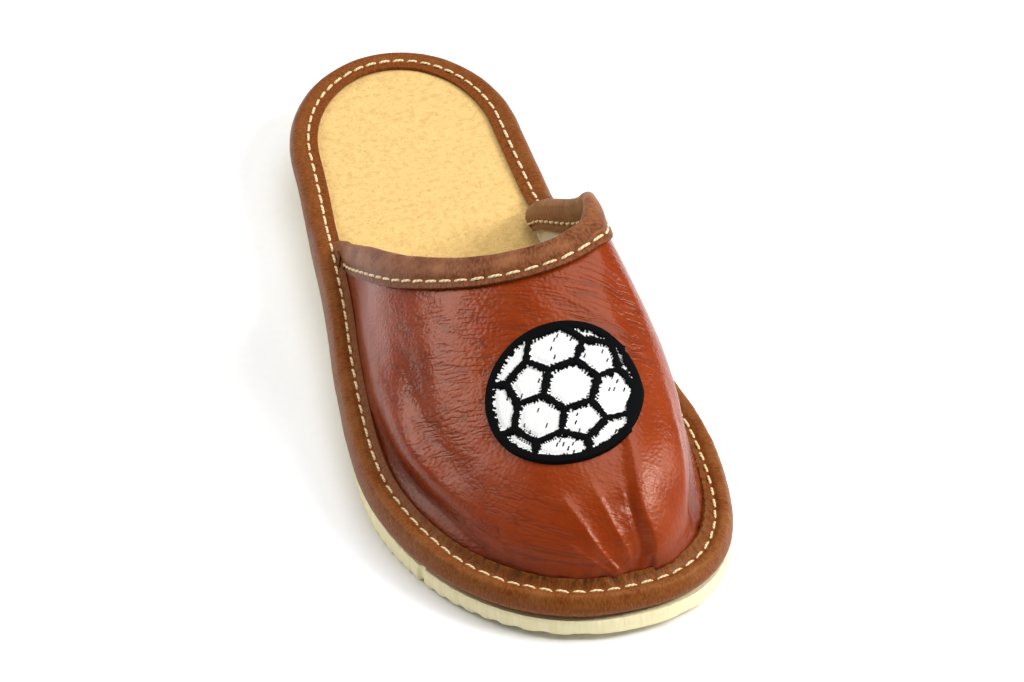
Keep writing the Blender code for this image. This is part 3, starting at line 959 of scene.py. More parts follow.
HEEL_LIP_REACH = 0.5
HEEL_LIP_DROP = 0.45
PLEAT_PITCH = 3.3


def even_ways(inset, count):
    """Ways round the outline at equal distances along it, with those distances in mm."""
    ways = np.linspace(0, 2 * math.pi, 6001)
    plan = rim(ways, inset)
    length = np.concatenate([[0], np.cumsum(np.linalg.norm(np.diff(plan, axis=0), axis=-1))])
    distance = np.linspace(0, length[-1], count)
    return np.interp(distance, length, ways), distance


def section_curve(count):
    """Inset and height along the section, evenly spaced."""
    table = np.array(BINDING_SECTION)
    run = np.concatenate([[0], np.cumsum(np.linalg.norm(np.diff(table, axis=0), axis=-1))])
    rows = [(r, *p) for r, p in zip(run, table)]
    at = np.linspace(0, run[-1], count)
    return smooth(rows, 1, at), smooth(rows, 2, at)


ways, distances = even_ways(STITCH_INSET, BINDING_ROWS + 1)
insets, heights = section_curve(BINDING_COLUMNS + 1)
print("binding runs", round(distances[-1]), "mm round the slipper")

# %% Places along the edge binding
# Stations between which the toe's lip, and the gathers on either side, grow to their full size
TOE_STATIONS = (205, 242)
OUTER_GATHERS = (196, 232)
INNER_GATHERS = (178, 210)
way_station = rim(ways, 0.0)[:, 1] + LENGTH / 2
is_outer = ways <= math.pi
corner = np.where(is_outer, CORNER_OUTER, CORNER_INNER)
at_toe = smoothstep(*TOE_STATIONS, way_station)
in_front = smoothstep(corner - FRONT_START, corner + FRONT_END, way_station)
lift = BINDING_LIFT * smoothstep(corner - LIFT_RUN, corner - LIFT_END, way_station) - TOE_LIFT_LESS * at_toe
outer_gathers = smoothstep(*OUTER_GATHERS, way_station)
inner_gathers = smoothstep(*INNER_GATHERS, way_station)
gathered = np.where(is_outer, outer_gathers, inner_gathers)
print("sections in front of the collar's ends:", int((in_front > 0.5).sum()))

# %% Shape of the edge binding
on_top = heights > BINDING_TOP_SIDE
past_seam = np.clip((insets - STITCH_INSET) / (LIP_END - STITCH_INSET), 0, 1) * on_top
roll = smoothstep(3.2, 6.0, heights) * (insets < STITCH_INSET)
lift_share = np.clip((heights - BINDING_WIDEST) / (LIP_TOP - BINDING_WIDEST), 0, 1)
near_seam = bell(insets - STITCH_INSET, TOE_SEAM_WIDTH) * on_top

# At the heel the lip lies flat on the felt, in front it swings up and leans on the vamp
lip_rise = FRONT_LIP_RISE * in_front + (TOE_LIP_RISE - FRONT_LIP_RISE) * at_toe
inset_grid = insets + np.outer(HEEL_LIP_REACH * (1 - in_front), np.sin(past_seam * math.pi / 2))
inset_grid = inset_grid - np.outer(TOE_SEAM_SHIFT * at_toe, near_seam)
height_grid = heights + np.outer(lift, lift_share) + np.outer(lip_rise, past_seam**2)
height_grid = height_grid - np.outer(HEEL_LIP_DROP * (1 - in_front), past_seam)

points = on_sole(rim(ways[:, None], inset_grid), height_grid)
points[-1] = points[0]
normals = -grid_normals(np.concatenate([points[-3:-1], points, points[1:3]]))[2:-2]
print("binding grid", points.shape[:2])

# %% Pucker the edge binding
STITCH_PITCH = 4.6
STITCH_PULL = 0.14
STITCH_PULL_WIDTH = 1.6
PLEAT_DRIFT = 1.7
DRIFT_SIZES = (8.0, 9.0, 11.0)
LIP_PLEATS = 0.8
ROLL_PLEATS = 0.3
PLEAT_LEVEL = 0.6
# The strip's two ends meet at the heel, where the unevenness fades over this run
JOIN_RUN = 8.0
along = distances[:, None] + 0 * insets
drift = noise_at(np.stack([along, inset_grid, height_grid], axis=-1), DRIFT_SIZES)
wave = np.abs(np.sin(math.pi * (along / PLEAT_PITCH + PLEAT_DRIFT * drift)))
pleats = np.outer(gathered, LIP_PLEATS * past_seam + ROLL_PLEATS * roll) * (wave - PLEAT_LEVEL)
uneven = 0.10 * noise_at(points, 9.0) + 0.05 * noise_at(points, 3.0)
pulled = STITCH_PULL * np.cos(2 * math.pi * along / STITCH_PITCH)
pulled = pulled * bell(inset_grid - STITCH_INSET, STITCH_PULL_WIDTH) * (height_grid > BINDING_TOP_SIDE)
join_fade = 0.5 - 0.5 * np.cos(np.clip(distances, 0, JOIN_RUN) / JOIN_RUN * math.pi)
join_fade = (join_fade * join_fade[::-1])[:, None]
bound = points + normals * ((pleats + uneven) * join_fade + pulled)[..., None]
bound[-1] = bound[0]
print("pleats in mm from", pleats.min().round(2), "to", pleats.max().round(2))

# %% Binding piece
ROLL_RUB = 0.35
FRONT_RUB = 0.2
PLEAT_RUB = 0.6
PLEAT_SHADE = 0.6
LIP_SHADE = 0.15
SHADE_MOST = 0.8
BINDING_WALL = 1.0
# The fold attribute is painted shade: in the valleys of the pleats and on the lip that stands up in front
in_pleat = np.outer(gathered, np.sqrt(past_seam)) * smoothstep(0.55, 0.15, wave)
rubbed = np.outer(ROLL_RUB + FRONT_RUB * in_front, roll) + PLEAT_RUB * np.outer(gathered, past_seam)
shaded = PLEAT_SHADE * in_pleat + LIP_SHADE * np.outer(in_front, past_seam)

binding = Sheet("edge_binding_leather", bound)
binding.store("rub", rubbed)
binding.store("fold", np.clip(shaded, 0, SHADE_MOST))
binding.unwrap(*laid_flat(bound))
binding.close(flip=True)
binding.thicken(BINDING_WALL)
binding.shade(60.0)
seat(binding.piece, binding_leather, "edge_binding")
binding_rows, binding_normals = bound, normals

# %% [markdown]
# ## Stitches
#
# Both strips are sewn with a thick cream polyester thread in a lockstitch, about 4.6 mm to the stitch.
# A single stitch is a thread that comes up, lies on the leather and dives again, so it is made from a
# sphere drawn out to a thread's length with its ends bent down. The seam is then copies of that stitch
# a stitch apart, each turned to the seam and given a little slant of its own, joined to one piece.

# %% Thread
seam_thread, shader = new_material("seam_polyester_thread", Roughness=0.55, Sheen_Weight=0.3)
surface = add_node(seam_thread, "UVMap", {}, uv_map="UVMap").outputs["UV"]
# Plies twisted round each other: slanting bands, six to the stitch, painted darker in the grooves between
# plies as shade
turned = add_node(seam_thread, "Mapping", {"Vector": surface, "Scale": (2.0, 6.0, 1.0)})
ply = add_node(
    seam_thread, "TexWave", {"Vector": turned.outputs[0], "Scale": 0.5}, bands_direction="DIAGONAL"
)
tone = add_node(
    seam_thread,
    "Mix",
    {MIX_SHARE: ply.outputs["Fac"], MIX_FROM: linear("#c9a973"), MIX_TO: linear("#f6e3b4")},
    data_type="RGBA",
)
link(seam_thread, tone.outputs[MIXED], shader.inputs["Base Color"])
twist = add_node(seam_thread, "Bump", {"Strength": 0.4, "Distance": 0.0002, "Height": ply.outputs["Fac"]})
link(seam_thread, twist.outputs[0], shader.inputs["Normal"])
print(seam_thread.name, len(seam_thread.node_tree.nodes), "nodes")

# %% One stitch
STITCH_LENGTH = 4.2
THREAD_WIDTH = 0.8
THREAD_HEIGHT = 0.7
STITCH_RISE = 0.22
STITCH_DIVE = 0.6
FULLEST = 1.4


def model_stitch():
    """One thread along X, resting on Z = 0, with its ends diving under."""
    bpy.ops.object.select_all(action="DESELECT")
    bpy.ops.mesh.primitive_uv_sphere_add(segments=8, ring_count=8, radius=1.0)
    stitch = bpy.context.active_object
    edit_all(stitch)
    quarter = math.pi / 2
    bpy.ops.transform.rotate(value=quarter, orient_axis="Y", center_override=(0, 0, 0))
    size = (STITCH_LENGTH / 2 * MM, THREAD_WIDTH / 2 * MM, THREAD_HEIGHT / 2 * MM)
    bpy.ops.transform.resize(value=size, center_override=(0, 0, 0))
    bpy.ops.object.mode_set(mode="OBJECT")
    for vertex in stitch.data.vertices:
        reach = min(abs(vertex.co.x) / (STITCH_LENGTH / 2 * MM), 1.0)
        fuller = (1 - reach**4) ** 0.25 / max((1 - reach**2) ** 0.5, 0.3)
        vertex.co.y *= min(fuller, FULLEST)
        vertex.co.z = vertex.co.z * min(fuller, FULLEST) + (STITCH_RISE - STITCH_DIVE * reach**3) * MM
    bpy.ops.object.shade_smooth()
    return stitch


print("a stitch measures", STITCH_LENGTH, "by", THREAD_WIDTH, "mm")

# %% Sewing
# The heading of a stitch is read over this distance on either side of its middle
HEADING_REACH = 1.5
STITCH_SLANT = 3.0
LENGTH_SPREAD = (0.93, 1.0)
WIDTH_SPREAD = (0.92, 1.06)


def sew(name, line, ups, pitch, seed=1):
    """Copies of one stitch along a line of points, as far apart as the pitch at each point says."""
    chance = random.Random(seed)
    run = np.concatenate([[0], np.cumsum(np.linalg.norm(np.diff(line, axis=0), axis=-1))])
    pitch = np.broadcast_to(pitch, run.shape)
    stitches = np.concatenate([[0], np.cumsum(np.diff(run) / pitch[1:])])
    count = int(stitches[-1])
    seam = model_stitch()
    seam.name = name
    seam.data.name = name

    def read(values, distance):
        return np.array([np.interp(distance, run, values[:, k]) for k in range(3)])

    copies = []
    for i in range(count):
        middle = np.interp((i + 0.5) * stitches[-1] / count, stitches, run)
        longer = np.interp(middle, run, pitch) / STITCH_PITCH
        start = read(line, middle - HEADING_REACH)
        end = read(line, middle + HEADING_REACH)
        up = Vector(read(ups, middle)).normalized()
        heading = Vector(end - start).normalized()
        up = (up - heading * up.dot(heading)).normalized()
        turn = Matrix((heading, up.cross(heading), up)).transposed().to_4x4()
        slant = math.radians(STITCH_SLANT + chance.uniform(-STITCH_SLANT, STITCH_SLANT))
        length = chance.uniform(*LENGTH_SPREAD) * longer
        size = Matrix.Diagonal((length, chance.uniform(*WIDTH_SPREAD), 1, 1))
        spot = Matrix.Translation(Vector((start + end) / 2 * MM))
        copy = bpy.data.objects.new(f"{name}_{i}", seam.data.copy())
        copy.matrix_world = spot @ turn @ Matrix.Rotation(slant, 4, "Z") @ size
        bpy.context.collection.objects.link(copy)
        copies.append(copy)
    bpy.ops.object.select_all(action="DESELECT")
    seam.select_set(True)
    bpy.context.view_layer.objects.active = seam
    edit_all(seam)
    bpy.ops.mesh.delete(type="VERT")
    bpy.ops.object.mode_set(mode="OBJECT")
    for copy in copies:
        copy.select_set(True)
    bpy.ops.object.join()
    print(name, count, "stitches of", round(run[-1] / count, 2), "mm")
    return seam


# %% Edge seam
# Pitch of the stitches in mm, and the stations between which it changes
HEEL_PITCH = 4.1
SIDE_PITCH = 5.1
TOE_PITCH = 4.7
HEEL_CHANGE = (12, 50)
TOE_CHANGE = (215, 250)
seam_column = int(np.argmin(np.where(on_top, np.abs(insets - STITCH_INSET), LENGTH)))
edge_pitch = HEEL_PITCH + (SIDE_PITCH - HEEL_PITCH) * smoothstep(*HEEL_CHANGE, way_station)
edge_pitch = edge_pitch + (TOE_PITCH - SIDE_PITCH) * smoothstep(*TOE_CHANGE, way_station)
edge_seam = sew("edge_seam", binding_rows[:, seam_column], binding_normals[:, seam_column], edge_pitch)
seat(edge_seam, seam_thread)

# %% [markdown]
# ## Collar strip
#
# The collar is bound with a narrow strip folded over the vamp's edge and sewn through both legs. The
# strip is soft: between the seam and the fold it stands off like a small roll. A thick curve could give
# the roll but not the two flat legs, so it is a grid again: across the strip it goes up the outer leg,
# over the fold and down the inner leg, and its rows follow the collar line.

# %% Shape of the collar strip
COLLAR_WIDTH = 7.7
COLLAR_LIFT = 1.2
COLLAR_BULGE = 0.4
COLLAR_BULGE_POWER = 0.8
COLLAR_SEAM = 5.4
SEAM_DIP = 0.25
SEAM_DIP_WIDTH = 0.9
INNER_LEG_CLOSER = 0.3
FOLD_FULLNESS = 1.05
COLLAR_ROWS = 200
LEG_COLUMNS = 16
FOLD_COLUMNS = 10
COLLAR_FOOT_CLEARANCE = 1.0
LIMIT_SEARCH = 0.6
# The strip narrows towards its ends, over this many degrees round the vamp
END_NARROWING = 0.28
END_RUN = 14.0


def collar_limit(angles):
    """First angle at which the collar line stands clear of the edge binding's lip."""
    rise = vamp_point(angles, collar_turn(angles))[:, 2] - vamp_point(angles[0], collar_turn(angles))[:, 2]
    return float(angles[np.argmax(rise > COLLAR_FOOT_CLEARANCE)])


low = collar_limit(np.linspace(0, LIMIT_SEARCH, 600))
high = collar_limit(np.linspace(math.pi, math.pi - LIMIT_SEARCH, 600))
angles = np.linspace(low, high, COLLAR_ROWS + 1)
turns = collar_turn(angles)
ahead = vamp_point(angles + 0.01, collar_turn(angles + 0.01))
behind = vamp_point(angles - 0.01, collar_turn(angles - 0.01))
point, normal, _, _ = vamp_frame(angles, turns)
into_vamp = unit(np.cross(ahead - behind, normal))
print("collar strip from", round(math.degrees(low), 1), "to", round(math.degrees(high), 1), "degrees")

# %% Legs and fold of the collar strip
reach = np.linspace(COLLAR_WIDTH, 0, LEG_COLUMNS)
past_seam = np.clip((COLLAR_SEAM - reach) / COLLAR_SEAM, 0, 1)
stand = COLLAR_BULGE * np.sin(math.pi * past_seam) ** COLLAR_BULGE_POWER
stand = stand - SEAM_DIP * bell(reach - COLLAR_SEAM, SEAM_DIP_WIDTH)
from_end = np.degrees(np.minimum(angles - low, high - angles))
width_share = 1 - END_NARROWING * bell(from_end, END_RUN)
outer_leg, inner_leg = [], []
for distance, off in zip(reach, stand):
    at = walk(angles, turns, into_vamp, np.maximum(distance * width_share, 1e-6), low, high)
    spot, up = vamp_frame(*at)[:2]
    outer_leg.append(spot + up * (COLLAR_LIFT + off))
    inner_leg.append(spot - up * (VAMP_WALL + COLLAR_LIFT + off - INNER_LEG_CLOSER))
swing = np.linspace(0, math.pi, FOLD_COLUMNS + 2)[1:-1]
middle = (outer_leg[-1] + inner_leg[-1]) / 2
radius = np.linalg.norm(outer_leg[-1] - inner_leg[-1], axis=-1)[:, None] / 2
fold = [middle + radius * (math.cos(a) * normal - FOLD_FULLNESS * math.sin(a) * into_vamp) for a in swing]
points = np.stack(outer_leg + fold + inner_leg[::-1], axis=1)
print("collar grid", points.shape[:2])

# %% Ends of the collar strip
# Each end straddles the edge binding's lip: its outer leg lies on the lip as far as the seam, its inner leg
# goes down inside the lip, and nothing of the outer leg dips under the binding's top
TAB_INSET = 6.1
TAB_INNER_INSET = 8.5
TAB_ROWS = 10
TAB_LAYER = 0.6
END_ROWS = 14
BINDING_TOP = 8.4
NEAR_BINDING = 2.5
SIDE_SLOPE = 0.5
# Stations of the seam between which the outer and the inner end lie
OUTER_TAB = (86.5, 97.5)
INNER_TAB = (89.0, 100.0)


def over_binding(spots):
    """The spots, raised where they would lie too low over the edge binding or close beside it."""
    tops = binding_rows.reshape(-1, 3)
    raised = spots.copy()
    for spot in raised:
        away = np.linalg.norm(tops[:, :2] - spot[:2], axis=-1)
        near = away < NEAR_BINDING
        if near.any():
            spot[2] = max(spot[2], (tops[near, 2] + TAB_LAYER - SIDE_SLOPE * away[near]).max())
    return raised


def collar_tab(section, side, stations):
    """Sections from one end of the strip out to the seam."""
    along_seam = turn_of(np.interp(reach, (0, COLLAR_WIDTH), stations))
    outer = on_sole(edge(along_seam, side, TAB_INSET), np.full(LEG_COLUMNS, BINDING_TOP))
    under = on_sole(edge(along_seam, side, TAB_INNER_INSET), np.full(LEG_COLUMNS, BINDING_TOP))
    around = np.linspace(outer[-1], under[-1], FOLD_COLUMNS + 2)[1:-1]
    flat = np.concatenate([outer, around, under[::-1]])
    top = LEG_COLUMNS + FOLD_COLUMNS
    flat[:top] = over_binding(flat[:top])
    rows = []
    for share in np.linspace(0, 1, TAB_ROWS + 1)[1:]:
        row = section + (flat - section) * math.sin(share * math.pi / 2)
        row[:top] = over_binding(row[:top])
        rows.append(row)
    return np.stack(rows)


for row in list(range(END_ROWS)) + list(range(len(points) - END_ROWS, len(points))):
    points[row, :LEG_COLUMNS] = over_binding(points[row, :LEG_COLUMNS])
first_tab = collar_tab(points[0], 1, OUTER_TAB)[::-1]
last_tab = collar_tab(points[-1], -1, INNER_TAB)
points = np.concatenate([first_tab, points, last_tab])
print("collar rows with both ends:", len(points))

# %% Collar piece
COLLAR_UNEVEN = 0.12
COLLAR_UNEVEN_SIZE = 6.0
COLLAR_WALL = 0.9
FOLD_RUB_AT = 1.5
FOLD_RUB_WIDTH = 3.0
INNER_RUB = 0.3
normals = grid_normals(points)
if dot(normals[TAB_ROWS + COLLAR_ROWS // 2, 4], normal[COLLAR_ROWS // 2]) < 0:
    normals = -normals
points = points + normals * (COLLAR_UNEVEN * noise_at(points, COLLAR_UNEVEN_SIZE))[..., None]
leg_rub = bell(reach - FOLD_RUB_AT, FOLD_RUB_WIDTH)
across = np.concatenate([leg_rub, np.ones(FOLD_COLUMNS), INNER_RUB * leg_rub[::-1]])

collar = Sheet("collar_binding_leather", points)
collar.store("rub", np.outer(np.ones(len(points)), across))
collar.unwrap(*laid_flat(points))
collar.close(flip=True)
collar.thicken(COLLAR_WALL)
collar.shade(60.0)
seat(collar.piece, collar_leather, "collar_binding")

# %% Collar seams
INNER_SEAM = 4.4
COLLAR_PITCH = 5.2
outer_column = int(np.argmin(np.abs(reach - COLLAR_SEAM)))
inner_column = points.shape[1] - 1 - int(np.argmin(np.abs(reach - INNER_SEAM)))
sewn = slice(TAB_ROWS, -TAB_ROWS)
for name, column, seed in (("collar_seam_outer", outer_column, 2), ("collar_seam_inner", inner_column, 3)):
    seam = sew(name, points[sewn, column], normals[sewn, column], COLLAR_PITCH, seed)
    seat(seam, seam_thread)

# %% [markdown]
# ## Felt insole
#
# The footbed is a board faced with needled wool felt the colour of straw, with stray brown fibres. It is
# nearly flat, so a plain disc would do for the shape, but a grid with a slight swell catches the light
# as soft felt does. The fibres do the rest: short curved flecks and a matt, fuzzy bump.

# %% Felt
felt, shader = new_material(
    "insole_needled_wool_felt", Roughness=0.95, Sheen_Weight=0.25, Sheen_Roughness=0.6
)
place = add_node(felt, "TexCoord", {}).outputs["Object"]
# Fibres matted at about 0.8 mm, clouds of density at about 2 mm and sparse brown hairs about 1.5 mm long
fibre = add_node(
    felt, "TexNoise", {"Vector": place, "Scale": per_mm(0.8), "Detail": 4.0, "Distortion": 1.2}
)
density = add_node(felt, "TexNoise", {"Vector": place, "Scale": per_mm(1.8), "Detail": 5.0})
hairs = add_node(
    felt, "TexNoise", {"Vector": place, "Scale": per_mm(1.6), "Detail": 2.0, "Distortion": 2.0}
)
fibre_tone = add_node(
    felt,
    "Mix",
    {MIX_SHARE: fibre.outputs["Fac"], MIX_FROM: linear("#c79a4a"), MIX_TO: linear("#f2cd80")},
    data_type="RGBA",
)
thin = add_node(
    felt, "MapRange", {"Value": density.outputs["Fac"], "From Min": 0.46, "From Max": 0.68, "To Max": 0.5}
)
dense_tone = add_node(
    felt,
    "Mix",
    {MIX_SHARE: thin.outputs[0], MIX_FROM: fibre_tone.outputs[MIXED], MIX_TO: linear("#bb9245")},
    data_type="RGBA",
)
brown = add_node(
    felt, "MapRange", {"Value": hairs.outputs["Fac"], "From Min": 0.64, "From Max": 0.72, "To Max": 0.6}
)
flecked = add_node(
    felt,
    "Mix",
    {MIX_SHARE: brown.outputs[0], MIX_FROM: dense_tone.outputs[MIXED], MIX_TO: linear("#94733c")},
    data_type="RGBA",
)
link(felt, flecked.outputs[MIXED], shader.inputs["Base Color"])
fuzz = add_node(felt, "Bump", {"Strength": 0.6, "Distance": 0.0005, "Height": fibre.outputs["Fac"]})
link(felt, fuzz.outputs[0], shader.inputs["Normal"])
print(felt.name, len(felt.node_tree.nodes), "nodes")

# %% Insole piece
INSOLE_EDGE_INSET = 3.2
INSOLE_COLUMNS = 64
INSOLE_ROWS = 200
INSOLE_WALL = 2.6
SWELL = 0.12
SWELL_SIZE = 22.0
LUMPS = 0.05
LUMP_SIZE = 6.0
insole_turns = np.linspace(0, math.pi, INSOLE_ROWS + 1)
outer = edge(insole_turns, 1, INSOLE_EDGE_INSET)
inner = edge(insole_turns, -1, INSOLE_EDGE_INSET)
share = (1 - np.cos(np.linspace(0, math.pi, INSOLE_COLUMNS + 1))) / 2
plan = inner[:, None] + (outer - inner)[:, None] * share[None, :, None]
points = on_sole(plan, np.full(plan.shape[:2], INSOLE_TOP))
points[..., 2] += SWELL * noise_at(points, SWELL_SIZE) + LUMPS * noise_at(points, LUMP_SIZE)

insole = Sheet("insole_felt", points)
insole.close()
insole.thicken(INSOLE_WALL)
insole.shade()
seat(insole.piece, felt, "insole")

# %% [markdown]
# ## Foam sole
#
# The sole is cut from a sheet of ribbed EVA foam, thick at the heel and thin at the toe. The ribs run
# across and show as a rippled lower edge, and the blade that cut the outline left fine upright lines on
# its side. A flat outline with ribs cut out of it would lose the toe's spring, so sections across the sole,
# one every third of a millimetre, carry the ribs, the flex grooves and the lines.

# %% Foam
foam, shader = new_material("sole_eva_foam", Roughness=0.75, IOR=1.45)
place = add_node(foam, "TexCoord", {}).outputs["Object"]
upright = add_node(foam, "Mapping", {"Vector": place, "Scale": (1.0, 1.0, 0.12)})
saw = add_node(foam, "TexNoise", {"Vector": upright.outputs[0], "Scale": per_mm(1.0), "Detail": 3.0})
pores = add_node(foam, "TexVoronoi", {"Vector": place, "Scale": per_mm(0.6)})
cream = add_node(
    foam,
    "Mix",
    {MIX_SHARE: saw.outputs["Fac"], MIX_FROM: linear("#e2d6a2"), MIX_TO: linear("#faf2cc")},
    data_type="RGBA",
)
link(foam, cream.outputs[MIXED], shader.inputs["Base Color"])
blade = add_node(foam, "Bump", {"Strength": 0.35, "Distance": 0.0005, "Height": saw.outputs["Fac"]})
cells = add_node(
    foam,
    "Bump",
    {"Strength": 0.15, "Distance": 0.0003, "Height": pores.outputs["Distance"], "Normal": blade.outputs[0]},
)
link(foam, cells.outputs[0], shader.inputs["Normal"])
print(foam.name, len(foam.node_tree.nodes), "nodes")

# %% Sections of the sole
RIB_PITCH = 4.7
RIB_LAND = 1.7
RIB_SLOPE = 1.0
RIB_DEPTH = 0.9
RIB_SIDE_CUT = 0.12
FLEX_RIBS = (24, 46)
FLEX_DEPTH = 2.2
FLEX_SIDE_CUT = 0.8
SECTION_STEP = 0.36
END_SECTIONS = 260

first, last = SOLE_PLAN[0][3], LENGTH - SOLE_PLAN[-1][3]
end_stations = station_of(np.linspace(turn_of(first), turn_of(last), END_SECTIONS))
even_stations = np.arange(first + 1, last - 1, SECTION_STEP)
sole_stations = np.sort(np.concatenate([even_stations, end_stations]))
phase = sole_stations % RIB_PITCH
ribs = (sole_stations // RIB_PITCH).astype(int)
valley = smoothstep(RIB_LAND, RIB_LAND + RIB_SLOPE, phase)
valley = valley * (1 - smoothstep(RIB_PITCH - RIB_SLOPE, RIB_PITCH, phase))
is_flex = np.isin(ribs, FLEX_RIBS)
rise = valley * np.where(is_flex, FLEX_DEPTH, RIB_DEPTH)
cut = valley * np.where(is_flex, FLEX_SIDE_CUT, RIB_SIDE_CUT)
print(len(sole_stations), "sections with", ribs.max() + 1, "ribs")

# %% Sides of the sole
SOLE_SWELL = 0.6
dense_turns = np.linspace(0, math.pi, 3000)
foam_inset = smooth(SOLE_PLAN, 3, station_of(dense_turns))
y = sole_stations - LENGTH / 2
sides = {}
for side in (1, -1):
    plan = edge(dense_turns, side, foam_inset)
    sides[side] = np.interp(y, plan[:, 1], plan[:, 0]) - side * cut
middle = (sides[1] + sides[-1]) / 2
width = (sides[1] - sides[-1])[:, None]
top_z = sole_top(y) + SOLE_SWELL
print("foam width in mm up to", width.max().round(1))

# %% Sole piece
EDGE_ROUND = 0.5
EDGE_POWER = 6
RIM_CALM = 0.55
RIM_POWER = 4
SIDE_POINTS = 7
FACE_POINTS = 15
SAW_DEPTH = 0.10
SAW_PITCH = 1.1
# Widths under which the sole's tips are too narrow for the full rounding and the full saw lines
ROUND_WIDTH = 12
SAW_WIDTH = 20

# Corners of the section are rounded: side points swing from the lower face to the upper one
up = np.linspace(0, 1, SIDE_POINTS)
back = EDGE_ROUND * (np.abs(2 * up - 1) ** EDGE_POWER)
over = np.linspace(1, -1, FACE_POINTS)[1:-1]
share = np.concatenate([0 * up + 1, over, 0 * up - 1, -over, [1]])
height = np.concatenate([up, 0 * over + 1, up[::-1], 0 * over, [0]])
pull = np.concatenate([back, 0 * over, back, 0 * over, [back[0]]])
reach = np.maximum(width / 2 - pull * np.minimum(1, width / ROUND_WIDTH), 0)
x = middle[:, None] + share * reach
floor_z = sole_under(sole_stations)[:, None] + rise[:, None] * (1 - RIM_CALM * np.abs(share) ** RIM_POWER)
z = floor_z + (top_z[:, None] - floor_z) * height
points = np.stack([x, y[:, None] + 0 * x, z], axis=-1)
saw_lines = SAW_DEPTH * noise_at(np.stack([0 * y, y / SAW_PITCH, 0 * y], axis=-1), 1.0)[:, None]
points[..., 0] += np.where(np.abs(share) == 1, share, 0) * saw_lines * np.minimum(1, width / SAW_WIDTH)
for end in (0, -1):
    points[end, :, 0] = middle[end]

sole = Sheet("outsole_foam", points)
sole.close()
edit_all(sole.piece)
bpy.ops.mesh.normals_make_consistent(inside=False)
bpy.ops.object.mode_set(mode="OBJECT")
sole.shade(40.0)
seat(sole.piece, foam, "outsole")

# %% [markdown]
# ## Embroidered ball
#
# The round motif is machine embroidery: white satin stitch for the panels of a ball, black satin stitch
# for the lines between them and for the ring. The lines are the edges of the old ball solid with twelve
# pentagons and twenty hexagons, seen a little tilted, so they are worked out from the solid itself.
# The disc is a fine grid bent over the vamp. A face is black where it lies near a line, and each thread
# starts a little earlier or later than its neighbour, which gives the ragged edge of real stitches.

# %% Edges of the ball
BALL_TURN = 168.2
BALL_TILT = 9.1
TILT_TOWARDS = 51.4
golden = (1 + math.sqrt(5)) / 2
corners = []
for a in (-1, 1):
    for b in (-golden, golden):
        corners += [(0, a, b), (a, b, 0), (b, 0, a)]
corners = unit(np.array(corners, float))
near = np.sort(np.linalg.norm(corners[:, None] - corners, axis=-1).ravel())
side_length = near[near > 0.1][0] * 1.01
joined = np.linalg.norm(corners[:, None] - corners, axis=-1) < side_length
np.fill_diagonal(joined, False)
triangles = []
count = len(corners)
for i in range(count):
    for j in range(i + 1, count):
        for k in range(j + 1, count):
            if joined[i, j] and joined[j, k] and joined[i, k]:
                triangles.append((i, j, k))

edges = []
for i, j, k in triangles:
    for a, b, c in ((i, j, k), (j, k, i), (k, i, j)):
        third = corners[a] * 2 / 3
        edges.append((third + corners[b] / 3, third + corners[c] / 3))
for a, b in np.argwhere(np.triu(joined)):
    edges.append((corners[a] * 2 / 3 + corners[b] / 3, corners[a] / 3 + corners[b] * 2 / 3))
print(len(triangles), "hexagons,", len(edges), "edges")

# %% View of the ball
front = triangles[0]
z_axis = unit(corners[list(front)].sum(axis=0))
x_axis = unit(corners[front[0]] - z_axis * dot(corners[front[0]], z_axis))
base = np.stack([x_axis, np.cross(z_axis, x_axis), z_axis])
spin = Matrix.Rotation(math.radians(BALL_TURN), 3, "Z")
lean_axis = Vector((-math.sin(math.radians(TILT_TOWARDS)), math.cos(math.radians(TILT_TOWARDS)), 0))
lean = Matrix.Rotation(math.radians(BALL_TILT), 3, lean_axis)
view = np.array(lean @ spin) @ base

MOTIF_RADIUS = 22.2
RING_WIDTH = 3.0
LINE_WIDTH = 2.5
BALL_RADIUS = MOTIF_RADIUS - RING_WIDTH / 2
FLATNESS = 0.62
BALL_SPREAD = 1.154


def drawn(spots):
    """A ball's points on the flat disc, between a true side view (0) and a map of equal steps (1)."""
    from_front = np.arccos(np.clip(spots[:, 2], -1, 1))
    reach = (1 - FLATNESS) * np.sin(from_front) + FLATNESS * from_front / (math.pi / 2)
    return unit(spots[:, :2]) * (reach * BALL_SPREAD * BALL_RADIUS)[:, None]


segments = []
for a, b in edges:
    arc = unit(np.outer(np.linspace(1, 0, 7), a) + np.outer(np.linspace(0, 1, 7), b)) @ view.T
    flat = drawn(arc)
    for i in range(len(arc) - 1):
        if arc[i, 2] > 0 and np.linalg.norm(flat[i : i + 2], axis=-1).min() < BALL_RADIUS:
            segments.append((flat[i], flat[i + 1]))
print(len(segments), "short lines in view")

# %% Distances on the disc
MOTIF_STEPS = 200


def line_distance(spots):
    """Distance of each spot from the nearest line or the ring, and a coordinate along that line."""
    best = np.full(spots.shape[:-1], 1e9)
    along = np.zeros(spots.shape[:-1])
    for p, q in segments:
        heading = (q - p) / np.linalg.norm(q - p)
        t = np.clip(dot(spots - p, heading), 0, np.linalg.norm(q - p))
        away = np.linalg.norm(spots - p - t[..., None] * heading, axis=-1)
        closer = away < best
        best = np.where(closer, away, best)
        along = np.where(closer, dot(spots, heading), along)
    best = best - LINE_WIDTH / 2
    ring = np.abs(np.linalg.norm(spots, axis=-1) - BALL_RADIUS) - RING_WIDTH / 2
    around = np.arctan2(spots[..., 1], spots[..., 0]) * BALL_RADIUS
    return np.minimum(best, ring), np.where(ring < best, around, along)


